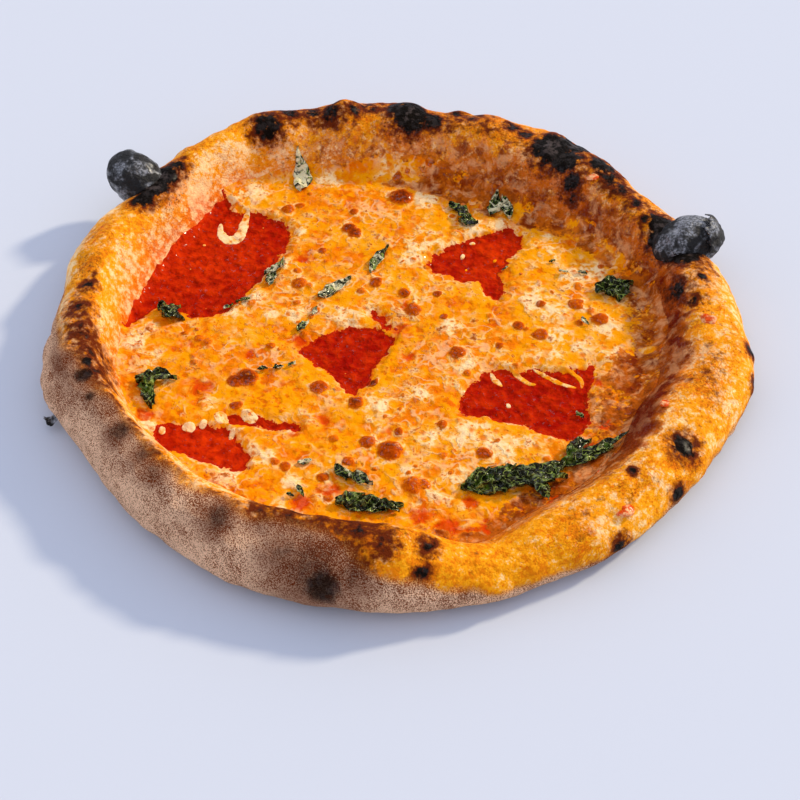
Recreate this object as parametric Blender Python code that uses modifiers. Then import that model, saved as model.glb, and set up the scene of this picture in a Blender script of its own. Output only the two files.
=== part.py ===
"""A wood-fired margherita pizza in metres, +Z up, its origin at the centre of the flat underside.

The dough is one solid: a thin disc with a puffy rim and two burst blisters. The tomato sauce, the
melted cheese and each basil leaf lie on it as solids of their own. Everything round is a circle
whose radius is changed by lobes, each a smooth bump given by its bearing, its spread and its amount.
"""

import math

import bmesh
import bpy
from mathutils import Matrix, Vector, noise

# Driving sizes of the dough
OUTER_RADIUS = 0.1560
TOE_RADIUS = 0.1120
RIM_HEIGHT = 0.0260
DOUGH_THICKNESS = 0.0030
BELLY_SHARE = 0.38
FOOT_INSET = 0.0150
WALL_STEEPNESS = 1.5

# Lobes: bearing in degrees from +X, spread in degrees, amount added there
OUTER_LOBES = (
    (8, 9, 0.002),
    (20, 12, -0.002),
    (38, 13, -0.004),
    (56, 10, 0.002),
    (74, 12, -0.002),
    (88, 48, 0.002),
    (105, 10, 0.002),
    (126, 20, 0.007),
    (158, 13, 0.007),
    (193, 10, 0.006),
    (214, 18, -0.003),
    (290, 14, -0.003),
    (318, 16, -0.002),
    (348, 10, 0.006),
)
TOE_LOBES = (
    (10, 16, 0.002),
    (62, 22, -0.014),
    (126, 17, 0.017),
    (190, 38, 0.013),
    (285, 8, 0.008),
    (338, 16, -0.006),
)
HEIGHT_LOBES = (
    (60, 14, 0.003),
    (73, 8, 0.001),
    (88, 9, 0.002),
    (90, 52, 0.003),
    (104, 8, 0.004),
    (120, 9, 0.003),
    (205, 48, 0.004),
    (262, 16, 0.002),
    (285, 9, -0.005),
    (306, 24, -0.003),
    (344, 22, -0.002),
)
# How far the crest stands from the toe, as a share of the rim's width
CREST_SHARE = 0.60
CREST_LOBES = (
    (205, 42, -0.17),
    (262, 16, -0.17),
)

# Uneven dough: two sizes of lump on the rim, and the low blisters that rise on its crest
LUMPS = ((0.030, 0.0020), (0.013, 0.0009))
# bearing in degrees, share of the way from belly (0) over the crest (1) to the toe (2), radius, rise
RIM_BLISTERS = (
    (46, 1.0, 0.013, 0.0030),
    (57, 0.8, 0.009, 0.0020),
    (88, 1.0, 0.011, 0.0030),
    (101, 0.9, 0.007, 0.0030),
    (119, 1.0, 0.011, 0.0025),
    (133, 1.3, 0.012, 0.0030),
    (2, 1.3, 0.014, 0.0035),
    (336, 1.2, 0.013, 0.0025),
    (318, 1.0, 0.012, 0.0020),
    (240, 0.6, 0.016, 0.0025),
    (268, 0.5, 0.018, 0.0030),
    (196, 0.7, 0.014, 0.0025),
)

# Burst blisters that stand off the rim: bearing, distance from the axis, height, three half sizes
LEFT_BLISTER = (144.0, 0.1630, 0.0250, (0.0130, 0.0130, 0.0125))
RIGHT_BLISTER = (19.5, 0.1480, 0.0225, (0.0155, 0.0130, 0.0110))
BLISTER_SEGMENTS = 18
BLISTER_RINGS = 10

# Layers on the dough. A gap keeps them apart.
GAP = 0.0003
SAUCE_THICKNESS = 0.0016
CHEESE_THICKNESS = 0.0022
SAUCE_BOTTOM = DOUGH_THICKNESS + GAP
SAUCE_TOP = SAUCE_BOTTOM + SAUCE_THICKNESS
CHEESE_BOTTOM = SAUCE_TOP + GAP
CHEESE_TOP = CHEESE_BOTTOM + CHEESE_THICKNESS
WALL_CLEARANCE = 0.0009

# The wide bay at the back left where sauce lies bare as far as the rim: bearing, spread, depth
SAUCE_BAY = (149, 23, -0.043)
CHEESE_LOBES = (
    (22, 5, -0.002),
    (305, 7, -0.006),
    (332, 9, -0.008),
)
# Bare pools inside the cheese: centre, radius, lobes about that centre
POOLS = (
    ((-0.025, -0.012), 0.017, ((170, 28, 0.003), (255, 28, 0.006), (35, 25, 0.005))),
    ((0.038, 0.055), 0.010, ((187, 30, 0.013), (45, 28, 0.017), (125, 25, 0.005), (290, 16, 0.017))),
    (
        (0.057, -0.042), 0.013,
        ((182, 24, 0.015), (128, 16, 0.011), (41, 14, 0.018), (2, 16, 0.012), (317, 20, 0.014)),
    ),
    ((-0.085, -0.064), 0.010, ((152, 26, 0.012), (338, 28, 0.013))),
)

# Basil: name, centre, bearing of the leaf's tip, length, width, how far the middle lifts
LEAVES = (
    ("basil_front_right_long", (0.050, -0.089), 14, 0.044, 0.015, 0.0030),
    ("basil_front_right_tip", (0.084, -0.074), 28, 0.032, 0.011, 0.0024),
    ("basil_front", (-0.012, -0.101), 352, 0.030, 0.010, 0.0024),
    ("basil_left", (-0.110, -0.036), 300, 0.019, 0.013, 0.0022),
    ("basil_back_left", (-0.106, 0.014), 335, 0.014, 0.011, 0.0020),
    ("basil_bay", (-0.060, 0.043), 62, 0.019, 0.007, 0.0018),
    ("basil_centre", (-0.030, 0.031), 42, 0.020, 0.008, 0.0016),
    ("basil_centre_back", (-0.009, 0.052), 68, 0.021, 0.006, 0.0016),
    ("basil_back", (0.032, 0.084), 312, 0.022, 0.009, 0.0020),
    ("basil_back_right", (0.051, 0.090), 70, 0.016, 0.010, 0.0020),
    ("basil_right", (0.102, 0.030), 8, 0.020, 0.013, 0.0024),
    ("basil_back_wall", (-0.050, 0.114), 92, 0.018, 0.010, 0.0016),
    ("basil_front_left", (-0.018, -0.087), 330, 0.016, 0.007, 0.0016),
)
LEAF_THICKNESS = 0.0007
LEAF_ROWS = 10
LEAF_COLUMNS = 4
LEAF_BLUNTNESS = 0.12
LEAF_CLEARANCE = 0.0011

# Facets
SEGMENTS = 120
STEPS_FOOT_TO_BELLY = 4
STEPS_BELLY_TO_CREST = 6
STEPS_CREST_TO_TOE = 8
OUTLINE_POINTS = 120
POOL_POINTS = 36
SHARP_ANGLE = math.radians(50)

# Plain colours: red, green, blue, and roughness
DOUGH_FINISH = ((0.70, 0.38, 0.12), 0.75)
SAUCE_FINISH = ((0.52, 0.04, 0.01), 0.30)
CHEESE_FINISH = ((0.90, 0.55, 0.16), 0.35)
BASIL_FINISH = ((0.03, 0.07, 0.02), 0.40)


def lobed(bearing, base, lobes, power=2):
    """The base value with every lobe's share at this bearing, in degrees, added."""
    total = base
    for centre, spread, amount in lobes:
        away = abs((bearing - centre + 180) % 360 - 180)
        total += amount * math.exp(-((away / spread) ** power))
    return total


def outer_radius(bearing):
    return lobed(bearing, OUTER_RADIUS, OUTER_LOBES)


def toe_radius(bearing):
    return lobed(bearing, TOE_RADIUS, TOE_LOBES)


def rim_height(bearing):
    return lobed(bearing, RIM_HEIGHT, HEIGHT_LOBES)


def crest_radius(bearing):
    share = lobed(bearing, CREST_SHARE, CREST_LOBES)
    return toe_radius(bearing) + share * (outer_radius(bearing) - toe_radius(bearing))


def wall_height(bearing, radius):
    """Height of the rim's inner wall over a point inside the crest."""
    toe = toe_radius(bearing)
    share = min(1.0, max(0.0, (radius - toe) / (crest_radius(bearing) - toe)))
    rise = math.sin(share * math.pi / 2) ** WALL_STEEPNESS
    return DOUGH_THICKNESS + (rim_height(bearing) - DOUGH_THICKNESS) * rise


def wall_radius(bearing, height):
    """Where the inner wall reaches a height, less the clearance that a layer keeps to it."""
    rise = (height - DOUGH_THICKNESS) / (rim_height(bearing) - DOUGH_THICKNESS)
    share = math.asin(rise ** (1 / WALL_STEEPNESS)) * 2 / math.pi
    toe = toe_radius(bearing)
    return toe + share * (crest_radius(bearing) - toe) - WALL_CLEARANCE


def rim_section(bearing, way):
    """Radius and height of the rim's section: way runs from -1 at the foot by 0 at the belly and
    1 at the crest to 2 at the toe."""
    outer = outer_radius(bearing)
    crest = crest_radius(bearing)
    height = rim_height(bearing)
    belly = BELLY_SHARE * height
    if way <= 0:
        turn = (way + 1) * math.pi / 2
        return outer - FOOT_INSET * (1 - math.sin(turn)), belly * (1 - math.cos(turn))
    if way <= 1:
        turn = way * math.pi / 2
        return crest + (outer - crest) * math.cos(turn), belly + (height - belly) * math.sin(turn)
    radius = crest + (toe_radius(bearing) - crest) * (way - 1)
    return radius, wall_height(bearing, radius)


def polar(bearing, radius, height):
    turn = math.radians(bearing)
    return Vector((radius * math.cos(turn), radius * math.sin(turn), height))


def rim_lump(bearing, way, point):
    """How far the dough stands proud of the plain section there: nothing at the foot and the toe."""
    fade = math.sin(math.pi * (way + 1) / 3) * min(1, 2 * (2 - way))
    lump = sum(size * noise.noise(point / wave) for wave, size in LUMPS)
    for centre, share, radius, rise in RIM_BLISTERS:
        away = (point - polar(centre, *rim_section(centre, share))).length
        lump += rise * math.exp(-((away / radius) ** 2))
    return fade * lump


def rim_point(bearing, way):
    radius, height = rim_section(bearing, way)
    point = polar(bearing, radius, height)
    core = polar(bearing, crest_radius(bearing), BELLY_SHARE * rim_height(bearing))
    return point + (point - core).normalized() * rim_lump(bearing, way, point)


def dough_ways():
    """The stops of the rim's section, foot to toe."""
    counts = (STEPS_FOOT_TO_BELLY, STEPS_BELLY_TO_CREST, STEPS_CREST_TO_TOE)
    ways = [-1.0]
    for start, count in zip((-1, 0, 1), counts):
        ways += [start + (step + 1) / count for step in range(count)]
    return ways


def new_object(name, mesh, finish, collection):
    colour, roughness = finish
    material = bpy.data.materials.get(name) or bpy.data.materials.new(name)
    material.use_nodes = True
    shader = material.node_tree.nodes["Principled BSDF"]
    shader.inputs["Base Color"].default_value = (*colour, 1)
    shader.inputs["Roughness"].default_value = roughness
    shader.inputs["Metallic"].default_value = 0
    mesh.materials.append(material)
    mesh.shade_smooth()
    mesh.set_sharp_from_angle(angle=SHARP_ANGLE)
    obj = bpy.data.objects.new(name, mesh)
    collection.objects.link(obj)
    return obj


def mesh_from(bm, name):
    bmesh.ops.recalc_face_normals(bm, faces=bm.faces)
    mesh = bpy.data.meshes.new(name)
    bm.to_mesh(mesh)
    bm.free()
    return mesh


def dough_mesh():
    """A flat disc of rings is spun first, ring by ring from the underside's centre to the top's,
    and each ring is then carried to its place on the section."""
    ways = dough_ways()
    last_ring = len(ways) + 1
    bm = bmesh.new()
    spoke = [bm.verts.new((ring, 0, 0)) for ring in range(last_ring + 1)]
    edges = [bm.edges.new(pair) for pair in zip(spoke, spoke[1:])]
    bmesh.ops.spin(
        bm, geom=spoke + edges, cent=(0, 0, 0), axis=(0, 0, 1),
        angle=math.tau, steps=SEGMENTS, use_merge=True,
    )
    for vertex in bm.verts:
        ring = round(vertex.co.xy.length)
        bearing = math.degrees(math.atan2(vertex.co.y, vertex.co.x))
        if ring == 0:
            vertex.co = (0, 0, 0)
        elif ring == last_ring:
            vertex.co = (0, 0, DOUGH_THICKNESS)
        else:
            vertex.co = rim_point(bearing, ways[ring - 1])
    bmesh.ops.remove_doubles(bm, verts=bm.verts, dist=1e-6)
    return mesh_from(bm, "crust")


def blister(name, place, collection):
    """An egg of dough standing off the rim, longest away from the centre."""
    bearing, distance, height, half_sizes = place
    bm = bmesh.new()
    bmesh.ops.create_uvsphere(bm, u_segments=BLISTER_SEGMENTS, v_segments=BLISTER_RINGS, radius=1)
    stretch = Matrix.Diagonal((*half_sizes, 1))
    turn = Matrix.Rotation(math.radians(bearing), 4, "Z")
    shift = Matrix.Translation(polar(bearing, distance, height))
    bmesh.ops.transform(bm, verts=bm.verts, matrix=shift @ turn @ stretch)
    obj = bpy.data.objects.new(name, mesh_from(bm, name))
    collection.objects.link(obj)
    obj.hide_render = True
    obj.display_type = "WIRE"
    return obj


def make_crust(collection, tools):
    crust = new_object("crust", dough_mesh(), DOUGH_FINISH, collection)
    for name, place in (("left_blister", LEFT_BLISTER), ("right_blister", RIGHT_BLISTER)):
        union = crust.modifiers.new(name, "BOOLEAN")
        union.operation = "UNION"
        union.object = blister(name, place, tools)
    return crust


def outline_spline(curve, radius_at, count, centre=(0.0, 0.0)):
    """One closed outline of a flat curve, its radius given by a function of the bearing."""
    spline = curve.splines.new("POLY")
    spline.points.add(count - 1)
    for step, point in enumerate(spline.points):
        bearing = 360 * step / count
        x, y, _ = polar(bearing, radius_at(bearing), 0)
        point.co = (centre[0] + x, centre[1] + y, 0, 1)
    spline.use_cyclic_u = True


def slab_mesh(name, bottom, thickness, outlines):
    """A slab of even thickness cut to its outlines. The first is its edge and the rest are holes."""
    curve = bpy.data.curves.new(name + "_outline", "CURVE")
    curve.dimensions = "2D"
    curve.fill_mode = "BOTH"
    curve.extrude = thickness / 2
    for radius_at, count, centre in outlines:
        outline_spline(curve, radius_at, count, centre)
    guide = bpy.data.objects.new(name + "_outline", curve)
    bpy.context.scene.collection.objects.link(guide)
    bpy.context.view_layer.update()
    evaluated = guide.evaluated_get(bpy.context.evaluated_depsgraph_get())
    mesh = bpy.data.meshes.new_from_object(evaluated)
    bpy.data.objects.remove(guide)
    mesh.name = name
    mesh.transform(Matrix.Translation((0, 0, bottom + thickness / 2)))
    bm = bmesh.new()
    bm.from_mesh(mesh)
    bmesh.ops.remove_doubles(bm, verts=bm.verts, dist=1e-6)
    bm.to_mesh(mesh)
    bm.free()
    return mesh


def flare(mesh, radius_at, bottom, top):
    """The upper edge of a layer reaches out to the wall, which leans away above its lower edge."""
    for vertex in mesh.vertices:
        bearing = math.degrees(math.atan2(vertex.co.y, vertex.co.x))
        on_edge = vertex.co.xy.length > radius_at(bearing, bottom) - 1e-5
        if on_edge and vertex.co.z > (bottom + top) / 2:
            vertex.co.xy *= radius_at(bearing, top) / radius_at(bearing, bottom)


def cheese_radius(bearing, height):
    bay = lobed(bearing, 0.0, (SAUCE_BAY,), power=4)
    return lobed(bearing, wall_radius(bearing, height) + bay, CHEESE_LOBES)


def make_sauce(collection):
    outline = (lambda bearing: wall_radius(bearing, SAUCE_BOTTOM), OUTLINE_POINTS, (0, 0))
    mesh = slab_mesh("sauce", SAUCE_BOTTOM, SAUCE_THICKNESS, [outline])
    flare(mesh, wall_radius, SAUCE_BOTTOM, SAUCE_TOP)
    return new_object("sauce", mesh, SAUCE_FINISH, collection)


def make_cheese(collection):
    outlines = [(lambda bearing: cheese_radius(bearing, CHEESE_BOTTOM), OUTLINE_POINTS, (0, 0))]
    for centre, radius, lobes in POOLS:
        outlines.append((lambda bearing, r=radius, l=lobes: lobed(bearing, r, l), POOL_POINTS, centre))
    mesh = slab_mesh("cheese", CHEESE_BOTTOM, CHEESE_THICKNESS, outlines)
    flare(mesh, cheese_radius, CHEESE_BOTTOM, CHEESE_TOP)
    return new_object("cheese", mesh, CHEESE_FINISH, collection)


def surface_height(point):
    """The top of whatever a leaf lies on there: the cheese, or the rim's inner wall."""
    bearing = math.degrees(math.atan2(point.y, point.x))
    return max(CHEESE_TOP, wall_height(bearing, point.xy.length)) + LEAF_CLEARANCE


def make_leaf(place, collection):
    """A leaf is a grid narrowed to a blunt point at both ends, arched over its midrib and draped."""
    name, (x, y), bearing, length, width, lift = place
    bm = bmesh.new()
    bmesh.ops.create_grid(bm, x_segments=LEAF_ROWS, y_segments=LEAF_COLUMNS, size=0.5)
    turn = Matrix.Rotation(math.radians(bearing), 3, "Z")
    for vertex in bm.verts:
        along, across = vertex.co.x, vertex.co.y
        taper = LEAF_BLUNTNESS + (1 - LEAF_BLUNTNESS) * math.cos(math.pi * along) ** 0.8
        flat = turn @ Vector((along * length, across * width * taper, 0)) + Vector((x, y, 0))
        arch = lift * math.cos(math.pi * along) * (1 - (2 * across) ** 2)
        vertex.co = Vector((flat.x, flat.y, surface_height(flat) + arch))
    leaf = new_object(name, mesh_from(bm, name), BASIL_FINISH, collection)
    thickness = leaf.modifiers.new("thickness", "SOLIDIFY")
    thickness.thickness = LEAF_THICKNESS
    thickness.offset = 1 if leaf.data.polygons[0].normal.z > 0 else -1
    return leaf


def main():
    for obj in list(bpy.data.objects):
        bpy.data.objects.remove(obj)
    pizza = bpy.data.collections.new("margherita_pizza")
    tools = bpy.data.collections.new("blisters_to_join")
    for collection in (pizza, tools):
        bpy.context.scene.collection.children.link(collection)
    make_crust(pizza, tools)
    make_sauce(pizza)
    make_cheese(pizza)
    for place in LEAVES:
        make_leaf(place, pizza)


main()
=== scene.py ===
"""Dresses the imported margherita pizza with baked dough, sauce, melted cheese and basil.

The file is laid out as a Blender add-on and is run as a script. Its sizes are in metres, in the
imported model's frame: +Z up, the origin at the centre of the flat underside. A place on the rim is
given by its bearing, in degrees from +X, and by its way round the section: -1 at the foot, 0 at the
belly, 1 at the crest and 2 at the toe, where the inner wall meets the floor.
"""

import math
import random
from functools import lru_cache

import bmesh
import bpy
from bpy.props import FloatProperty, FloatVectorProperty, IntProperty, PointerProperty
from mathutils import Matrix, Vector, geometry, kdtree, noise
from mathutils.bvhtree import BVHTree


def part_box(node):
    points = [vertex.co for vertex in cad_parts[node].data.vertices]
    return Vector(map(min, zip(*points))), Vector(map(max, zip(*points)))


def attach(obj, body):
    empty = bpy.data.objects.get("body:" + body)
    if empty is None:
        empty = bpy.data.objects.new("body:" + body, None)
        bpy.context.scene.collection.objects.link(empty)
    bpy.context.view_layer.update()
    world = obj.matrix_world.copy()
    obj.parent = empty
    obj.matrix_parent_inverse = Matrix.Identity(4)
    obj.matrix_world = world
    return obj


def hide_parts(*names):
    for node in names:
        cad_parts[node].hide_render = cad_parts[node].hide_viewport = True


bl_info = {
    "name": "Margherita Pizza",
    "version": (1, 0, 0),
    "blender": (4, 5, 0),
    "location": "3D View > Sidebar > Pizza",
    "description": "Builds the visible dough, sauce, cheese and basil round the packed pizza, and its stage",
    "category": "Object",
}

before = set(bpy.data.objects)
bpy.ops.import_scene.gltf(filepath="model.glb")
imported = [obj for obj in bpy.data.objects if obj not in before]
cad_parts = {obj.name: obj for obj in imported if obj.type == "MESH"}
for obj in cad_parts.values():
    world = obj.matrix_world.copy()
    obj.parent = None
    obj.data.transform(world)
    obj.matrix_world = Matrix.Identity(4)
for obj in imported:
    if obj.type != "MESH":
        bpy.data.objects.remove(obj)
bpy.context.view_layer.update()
BODY = "root"

# Vector noise starts from the clock unless it is given a seed
NOISE_SEED = 5
noise.seed_set(NOISE_SEED)

# The dough's section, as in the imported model
OUTER_RADIUS = 0.1560
TOE_RADIUS = 0.1120
RIM_HEIGHT = 0.0260
DOUGH_THICKNESS = 0.0030
BELLY_SHARE = 0.38
FOOT_INSET = 0.0150
WALL_STEEPNESS = 1.5
OUTER_LOBES = (
    (8, 9, 0.002), (20, 12, -0.002), (38, 13, -0.004), (56, 10, 0.002), (74, 12, -0.002), (88, 48, 0.002),
    (105, 10, 0.002), (126, 20, 0.007), (158, 13, 0.007), (193, 10, 0.006), (214, 18, -0.003),
    (290, 14, -0.003), (318, 16, -0.002), (348, 10, 0.006),
)
TOE_LOBES = (
    (10, 16, 0.002), (62, 22, -0.014), (126, 17, 0.017), (190, 38, 0.013), (285, 8, 0.008),
    (338, 16, -0.006),
)
HEIGHT_LOBES = (
    (60, 14, 0.003), (73, 8, 0.001), (88, 9, 0.002), (90, 52, 0.003), (104, 8, 0.004), (120, 9, 0.003),
    (205, 48, 0.004), (262, 16, 0.002), (285, 9, -0.005), (306, 24, -0.003), (344, 22, -0.002),
)
CREST_SHARE = 0.60
CREST_LOBES = (
    (205, 42, -0.17), (262, 16, -0.17),
)
LUMPS = ((0.030, 0.0020), (0.013, 0.0009))
RIM_BLISTERS = (
    (46, 1.0, 0.013, 0.003), (57, 0.8, 0.009, 0.002), (88, 1.0, 0.011, 0.003), (101, 0.9, 0.007, 0.003),
    (119, 1.0, 0.011, 0.0025), (133, 1.3, 0.012, 0.003), (2, 1.3, 0.014, 0.0035),
    (336, 1.2, 0.013, 0.0025), (318, 1.0, 0.012, 0.002), (240, 0.6, 0.016, 0.0025),
    (268, 0.5, 0.018, 0.003), (196, 0.7, 0.014, 0.0025),
)
LEFT_BLISTER = (144.0, 0.1630, 0.0250, (0.0130, 0.0130, 0.0125))
RIGHT_BLISTER = (19.5, 0.1480, 0.0225, (0.0155, 0.0130, 0.0110))

# Finer dough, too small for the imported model: wave length and amount, then cell, share that rise, rise
FINE_LUMPS = ((0.0085, 0.00075), (0.0038, 0.00026), (0.0017, 0.00011))
BUBBLES = ((0.017, 0.34, 0.0013), (0.0085, 0.36, 0.0006))

# Folds of the inner wall, each from the crest down to the toe: bearing, spread in degrees, way, rise
FOLDS = (
    (127, 2.6, 1.35, 0.0018), (122, 2.2, 1.35, -0.002), (114, 2.8, 1.3, 0.002), (107, 2.6, 1.45, -0.0024),
    (101, 2.4, 1.3, 0.0014), (96.5, 1.8, 1.4, -0.0014), (90, 2.6, 1.4, 0.001), (79, 2.6, 1.45, -0.0014),
    (71, 3.0, 1.35, 0.0012), (63, 2.0, 1.45, -0.0012), (56, 3.0, 1.3, 0.0012), (38, 3.0, 1.4, -0.0014),
    (28, 2.6, 1.3, 0.0012), (15.5, 1.8, 1.3, -0.0018), (9, 4.0, 1.3, 0.0026), (1, 1.8, 1.25, -0.002),
    (353, 3.0, 1.4, 0.0014), (345, 2.4, 1.45, -0.0014), (330, 4.0, 1.45, 0.0012), (318, 3.0, 1.4, -0.001),
    (287, 2.4, 1.3, -0.0012), (180, 3.0, 1.4, 0.001), (171, 2.6, 1.4, -0.0012), (163, 3.0, 1.35, 0.0014),
    (155, 2.6, 1.45, -0.0012), (146, 3.0, 1.4, 0.0014), (137, 3.0, 1.4, -0.0012),
)
FOLD_REACH = 0.55
# Burnt places on the rim: bearing, way, radius, darkness
CHAR_SPOTS = (
    (117.5, 1.18, 0.0072, 1.0), (112, 0.9, 0.006, 0.7), (107.5, 0.95, 0.0055, 0.8),
    (104, 1.03, 0.0065, 0.75), (99, 1.03, 0.0035, 0.8), (96, 0.85, 0.005, 0.7), (90.5, 0.92, 0.006, 0.9),
    (87.5, 1.05, 0.0098, 1.25), (82.5, 1.03, 0.006, 0.95), (78, 0.72, 0.004, 0.7), (74, 0.76, 0.004, 0.7),
    (65.5, 0.82, 0.0045, 0.8), (62, 0.9, 0.0045, 0.8), (55, 1.01, 0.0105, 1.3), (52.5, 0.7, 0.01, 1.2),
    (50.5, 1.1, 0.0085, 1.1), (46.3, 1.31, 0.005, 1.0), (44, 0.8, 0.008, 1.0), (44.5, 1.45, 0.0045, 0.55),
    (40, 0.9, 0.006, 0.75), (36.6, 0.94, 0.0055, 0.7), (32, 0.98, 0.005, 0.6), (26, 1.02, 0.006, 0.8),
    (22, 1.14, 0.005, 0.8), (6.3, 1.36, 0.006, 0.85), (2, 1.2, 0.003, 0.75), (7.2, 0.96, 0.0022, 0.95),
    (353.2, 0.28, 0.0035, 0.85), (347, 0.12, 0.0035, 0.7), (325.7, 0.69, 0.0062, 1.05),
    (319.4, 0.16, 0.004, 0.95), (315, 1.02, 0.0022, 0.7), (305.7, 0.07, 0.0042, 0.9),
    (149, 0.95, 0.006, 1.1), (145, 0.9, 0.0085, 1.3), (141.5, 0.92, 0.007, 1.2), (138, 0.98, 0.0045, 0.9),
    (24, 0.98, 0.0075, 1.2), (21, 1.12, 0.0085, 1.3), (17.5, 1.1, 0.008, 1.3), (14.5, 0.98, 0.007, 1.2),
    (16, 0.8, 0.007, 1.2), (22, 0.8, 0.007, 1.2), (175.4, 0.92, 0.004, 0.8), (182, 0.9, 0.0055, 0.6),
    (188.2, 1.05, 0.006, 0.55), (194, 1.05, 0.009, 0.38), (196.6, 0.99, 0.0028, 1.1),
    (199.8, 0.86, 0.0044, 1.0), (199.0, 1.0, 0.01, 0.42), (204.6, 0.77, 0.0026, 0.85),
    (193, 1.45, 0.008, 0.3), (214.2, 0.82, 0.0058, 0.75), (221.4, 0.84, 0.005, 0.55),
    (225.5, 0.77, 0.0048, 0.45), (240.3, 0.76, 0.0062, 0.62), (247.5, 1.02, 0.008, 0.42),
    (252, 1.06, 0.0095, 0.44), (256, 1.06, 0.0085, 0.42), (261.4, 0.93, 0.01, 0.5),
    (265, 0.9, 0.0075, 0.42), (258.9, 0.27, 0.0085, 1.0), (257.5, 0.42, 0.014, 0.55),
    (252.5, 0.55, 0.008, 0.45), (263, 0.45, 0.0075, 0.45), (273.7, 0.57, 0.0032, 0.8),
    (275, 0.9, 0.0037, 0.56), (267.6, 0.82, 0.0046, 0.48),
)

# The floury toasted band: bearing, spread and how far up the way it reaches, over a low pale foot
FLOUR_TOP = 0.02
FLOUR_LOBES = ((226, 50, 0.95),)
# Red oil that has soaked the inner wall: bearing, spread and how much further up the wall it reaches
STAIN_LOBES = ((342, 22, 0.50), (150, 22, 0.25), (300, 16, 0.20), (62, 24, 0.25))
# Oil and smears of cheese that darken the inner wall, with painted shade where the wall lies in shade,
# and how far out over the cheese they reach, in metres: bearing, spread and amount
SOAK_AND_SHADE_LOBES = (
    (346, 26, 1.0), (58, 24, 0.72), (98, 20, 0.50), (20, 20, 0.72), (303, 20, 0.55), (327, 11, 0.5))
SMEAR_AND_SHADE_LOBES = ((338, 15, 0.0210), (303, 20, 0.0075), (5, 18, 0.0050), (60, 30, 0.0030))

# Layers
SAUCE_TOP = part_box("sauce")[1].z
CHEESE_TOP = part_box("cheese")[1].z
SAUCE_CLIMB = 0.0055
SAUCE_CLIMB_LOBES = ((152, 20, 0.0045),)
CHEESE_CLIMB = 0.0095
CHEESE_CLIMB_LOBES = ((78, 40, 0.0075), (5, 34, 0.0040), (230, 30, -0.0005))
# Outlines of the bare sauce, where the cheese leaves it open; the first runs on under the inner wall
BARE_SAUCE = (
    ((-0.1345, -0.002), (-0.145, 0.03), (-0.138, 0.065), (-0.123, 0.088), (-0.106, 0.108),
     (-0.09, 0.106), (-0.086, 0.096), (-0.084, 0.088), (-0.076, 0.089), (-0.066, 0.088),
     (-0.055, 0.079), (-0.0535, 0.07), (-0.056, 0.061), (-0.061, 0.05), (-0.067, 0.04), (-0.074, 0.028),
     (-0.079, 0.0205), (-0.086, 0.016), (-0.096, 0.014), (-0.104, 0.018), (-0.111, 0.024),
     (-0.118, 0.018), (-0.125, 0.01)),
    ((0.014, 0.0495), (0.0205, 0.0585), (0.026, 0.063), (0.0365, 0.0695), (0.0455, 0.0725),
     (0.053, 0.078), (0.0615, 0.071), (0.06, 0.063), (0.052, 0.055), (0.0495, 0.0445), (0.05, 0.032),
     (0.0475, 0.0255), (0.0425, 0.029), (0.0385, 0.0395), (0.032, 0.038), (0.0255, 0.043),
     (0.0185, 0.0445)),
    ((-0.0445, -0.0085), (-0.0365, 0.0), (-0.0285, 0.005), (-0.017, 0.006), (-0.01, 0.006),
     (-0.0055, 0.003), (-0.0025, -0.0035), (-0.0085, -0.014), (-0.0125, -0.0245), (-0.0145, -0.0305),
     (-0.0205, -0.037), (-0.0235, -0.031), (-0.032, -0.0235), (-0.0375, -0.0165)),
    ((0.028, -0.048), (0.029, -0.0395), (0.031, -0.032), (0.0385, -0.0245), (0.046, -0.021),
     (0.0535, -0.0225), (0.0595, -0.0225), (0.0675, -0.0215), (0.076, -0.023), (0.0825, -0.0215),
     (0.089, -0.0195), (0.087, -0.0285), (0.083, -0.0365), (0.084, -0.0425), (0.085, -0.049),
     (0.081, -0.0595), (0.073, -0.0635), (0.067, -0.0615), (0.0555, -0.055), (0.0405, -0.0505)),
    ((-0.105, -0.058), (-0.1015, -0.0545), (-0.092, -0.0565), (-0.0845, -0.055), (-0.076, -0.0585),
     (-0.0705, -0.062), (-0.0675, -0.0685), (-0.0635, -0.0725), (-0.0645, -0.0775), (-0.068, -0.0815),
     (-0.073, -0.0795), (-0.08, -0.076), (-0.0905, -0.0715), (-0.1015, -0.0675), (-0.1055, -0.063)),
)
# Where the sauce is spread thinnest, in the largest bare patch and near it: x, y, radius
THIN_SAUCE = ((-0.1050, 0.0600, 0.0320), (-0.0800, -0.0680, 0.0200), (0.0500, 0.0550, 0.0160))
# Bare streaks of sauce: points along them, then half the width
GASHES = (
    (((-0.074, -0.0515), (-0.065, -0.0525), (-0.056, -0.0545), (-0.0445, -0.0555)), 0.0018),
    (((-0.012, 0.015), (-0.007, 0.0115), (-0.003, 0.006)), 0.0012),
)
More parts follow.
